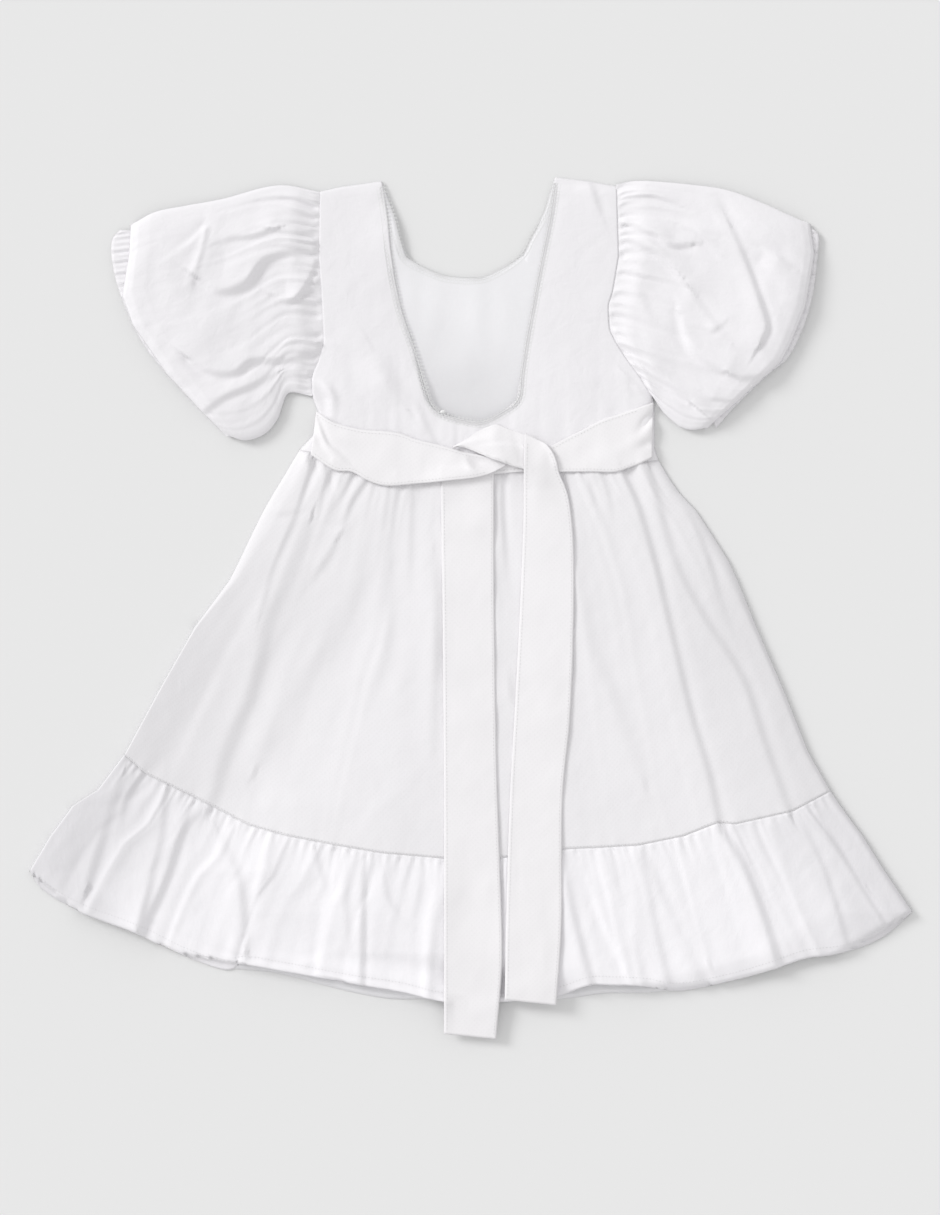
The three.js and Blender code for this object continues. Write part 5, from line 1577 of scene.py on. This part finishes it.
LACE_TREE = path_tree("Lace along an edge", lace_motif)
STITCH_TREE = path_tree("Stitches along a seam", stitch_motif)
LACE_RING_SIZES = {"Spacing": 3.0, "Size": 1.35, "Thread": 0.26}
LACE_CORDS = ((LACE_WIDTH, 0.2), (LACE_WIDTH * 0.5, 0.14), (0.9, 0.2))      # distance in, and radius
RING_LIFT = 0.03
CORD_LIFT = -0.06           # the cords are pressed a little into the cloth
KNOB_PATH = np.array([(-0.4, 0.0), (0.4, 0.0)])
KNOB_SEAT = np.array([(-2.8, -2.5), (-2.0, -2.5)])
KNOB_SIZES = {"Spacing": 2.0, "Size": 1.9, "Thread": 1.5}
KNOB_LIFT = 0.6


def neck_lace(name, line, trees, node_name, knob=None):
    """Openwork lace sewn to a neck's edge: rings, outer loops, three cords and, at the back, a knob."""
    seat = beside(line, -LACE_WIDTH)
    middle = on_cloth(beside(line, -LACE_WIDTH * 0.5), trees, RING_LIFT, seat)
    parts = [along_paths(name + " rings", LACE_TREE, [middle], LACE_THREAD, **LACE_RING_SIZES)]
    for distance, radius in LACE_CORDS:
        path = on_cloth(beside(line, -distance), trees, CORD_LIFT, seat)
        parts.append(cord_mesh(path, radius, LACE_THREAD, f"{name} cord {distance}"))
    if knob:
        ball = on_cloth(KNOB_PATH + knob, trees, KNOB_LIFT, KNOB_SEAT + knob)
        parts.append(along_paths(name + " knob", STITCH_TREE, [ball], LACE_THREAD, **KNOB_SIZES))
    lace = merged(name, parts)
    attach(lace, "root")
    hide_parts(node_name)
    return lace


BACK_LACE = neck_lace("Lace_back", neck_line(BACK_NECK)[2:-2], [tree_of(BODICE)], "neck_lace_back",
                      knob=(-20.8, 148.8))
FRONT_LACE = neck_lace("Lace_front", neck_line(FRONT_NECK)[2:-2], [tree_of(FRONT)], "neck_lace_front")


# The sash in the order in which it lies: right band, left tail, left band, knot, right tail

BODY_TREES = [tree_of(surface) for surface in (SKIRT, RUFFLE, BODICE)]
WAIST_BOX, TAILS_BOX = ((-140, 78), (156, 168)), ((-34, -336), (90, 144))
OVER_BODY = [drape_ground(BODY_TREES, *box, 2, soften) for box, soften in ((WAIST_BOX, 3), (TAILS_BOX, 4))]
SASH = {"right band": band_surface("sash_right", OVER_BODY[0], 0.9, 110),
        "left tail": tail_surface("sash_tail_left", OVER_BODY[1], 1.1)}
UNDER_LEFT = BODY_TREES + [tree_of(SASH["right band"]), tree_of(SASH["left tail"])]
SASH["left band"] = band_surface("sash_left", drape_ground(UNDER_LEFT, *WAIST_BOX, 2, 3), 1.6, 130)
UNDER_KNOT = UNDER_LEFT + [tree_of(SASH["left band"])]
SASH["knot"] = knot_surface(drape_ground(UNDER_KNOT, *WAIST_BOX, 1, 3))
UNDER_RIGHT = UNDER_KNOT + [tree_of(SASH["knot"])]
SASH["right tail"] = tail_surface("sash_tail_right", drape_ground(UNDER_RIGHT, *TAILS_BOX, 2, 4), 1.2)

for part, name, node_name, cut, area in (
    ("right band", "Sash_right_band", "sash_right", (0.13, 0.045), 0.0042),
    ("left band", "Sash_left_band", "sash_left", (0.15, 0.045), 0.0047),
    ("knot", "Sash_knot", "sash_knot", (0.062, 0.04), 0.0016),
    ("left tail", "Sash_left_tail", "sash_tail_left", (0.045, 0.44), 0.0185),
    ("right tail", "Sash_right_tail", "sash_tail_right", (0.045, 0.44), 0.0185),
):
    place(shell(name, SASH[part], SASH_CLOTH, SASH_COTTON), "cotton_figured", [node_name],
          flat=cut, held="laid", rests_on=["Back_skirt"], area=area)

place(shell("Back_bodice", BODICE, CLOTH, PLAIN), "cotton_plain", ["back_bodice"],
      flat=(0.27, 0.23), held="laid", area=0.036, with_pieces=[BACK_LACE], rests_on=["front_bodice"])
place(shell("Front_bodice", FRONT, CLOTH, INSIDE), "cotton_inside", ["front_bodice"],
      flat=(0.27, 0.23), held="laid", area=0.045, with_pieces=[FRONT_LACE])


# Stitching

STITCH_LENGTH = 1.5
STITCH_GAP = 1.1
STITCH_THREAD = 0.2
STITCH_LIFT = 0.12
SEAM_STITCHES = 1.6         # distance of the stitches from the ruffle's seam, its hem and the sash's edges
HEM_STITCHES = 6.5
SASH_STITCHES = 2.2


def stitches(name, lines):
    """A row of stitches along each line; a line is a plan path and the cloth under it."""
    paths = [on_cloth(path, [tree_of(cloth)], STITCH_LIFT) for path, cloth in lines]
    row = along_paths(name, STITCH_TREE, paths, SEWING_THREAD, Spacing=STITCH_LENGTH + STITCH_GAP,
                      Size=STITCH_LENGTH / 2, Thread=STITCH_THREAD)
    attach(row, "root")


stitches("Stitching_ruffle", [
    (beside(curve(RUFFLE_SEAM, 300), SEAM_STITCHES)[3:-3], SKIRT),
    (beside(curve(BACK_HEM, 300), HEM_STITCHES)[6:-6], RUFFLE),
])
SASH_ROWS = []
for part, edges, sides, count, kept in (
    ("left tail", TAIL_LEFT, (("left", 1), ("right", -1)), 200, slice(4, -2)),
    ("right tail", TAIL_RIGHT, (("left", 1), ("right", -1)), 200, slice(4, -2)),
    ("left band", SASH_EDGES["sash_left"], (("upper", -1), ("lower", 1)), 120, slice(2, -14)),
    ("right band", SASH_EDGES["sash_right"], (("upper", -1), ("lower", 1)), 120, slice(2, -14)),
):
    for edge, inwards in sides:
        SASH_ROWS.append((beside(curve(edges[edge], count), inwards * SASH_STITCHES)[kept], SASH[part]))
stitches("Stitching_sash", SASH_ROWS)


# Floor, light and camera

FLOOR_SIZE = 30.0
FLOOR_GREY = 0.782
CAMERA_HEIGHT = 3.0
CAMERA_ASIDE = (-0.3, 0.2)
PHOTO_WIDE, PHOTO_HIGH = 940, 1215
PHOTO_HEIGHT = 0.9234       # what the photograph's rows cover on the surface, in metres
SENSOR = 24.0
FLOOR_LIGHT = 1.032         # what a white floor would send back; the sky and the window share it
SKY_LIGHT = 0.785
SUN_RISE = math.radians(29)
SUN_FROM = math.radians(150)
SUN_WIDTH = math.radians(20)

floor_mesh = bpy.data.meshes.new("Floor")
half = FLOOR_SIZE / 2
floor_mesh.from_pydata([(-half, -half, 0), (half, -half, 0), (half, half, 0), (-half, half, 0)], [],
                       [(0, 1, 2, 3)])
floor = added("Floor", floor_mesh)
paper = bpy.data.materials.new("Pale floor")
paper.use_nodes = True
paper_finish = paper.node_tree.nodes["Principled BSDF"]
paper_finish.inputs["Base Color"].default_value = (FLOOR_GREY, FLOOR_GREY, FLOOR_GREY, 1)
paper_finish.inputs["Roughness"].default_value = 0.9
paper_finish.inputs["Specular IOR Level"].default_value = 0.1
floor_mesh.materials.append(paper)

world = bpy.data.worlds.new("Studio")
world.use_nodes = True
sky = world.node_tree.nodes["Background"]
sky.inputs["Color"].default_value = (1.0, 1.0, 1.0, 1)
sky.inputs["Strength"].default_value = SKY_LIGHT
bpy.context.scene.world = world

sun = bpy.data.lights.new("Window light", "SUN")
sun.energy = (FLOOR_LIGHT - SKY_LIGHT) * math.pi / math.sin(SUN_RISE)
sun.angle = SUN_WIDTH
aside = math.cos(SUN_RISE)
towards = Vector((math.cos(SUN_FROM) * aside, math.sin(SUN_FROM) * aside, math.sin(SUN_RISE)))
added("Window light", sun).rotation_euler = towards.to_track_quat("Z", "Y").to_euler()

bpy.context.scene.view_settings.view_transform = "Standard"

lens = bpy.data.cameras.new("Camera")
lens.sensor_fit = "VERTICAL"
lens.sensor_height = SENSOR
lens.sensor_width = SENSOR * PHOTO_WIDE / PHOTO_HIGH
lens.lens = SENSOR * CAMERA_HEIGHT / PHOTO_HEIGHT
lens.clip_end = 50
eye = added("Camera", lens)
eye.location = ((CAMERA_ASIDE[0] + CAD_SHIFT) * MM, CAMERA_ASIDE[1] * MM, CAMERA_HEIGHT)
bpy.context.scene.camera = eye
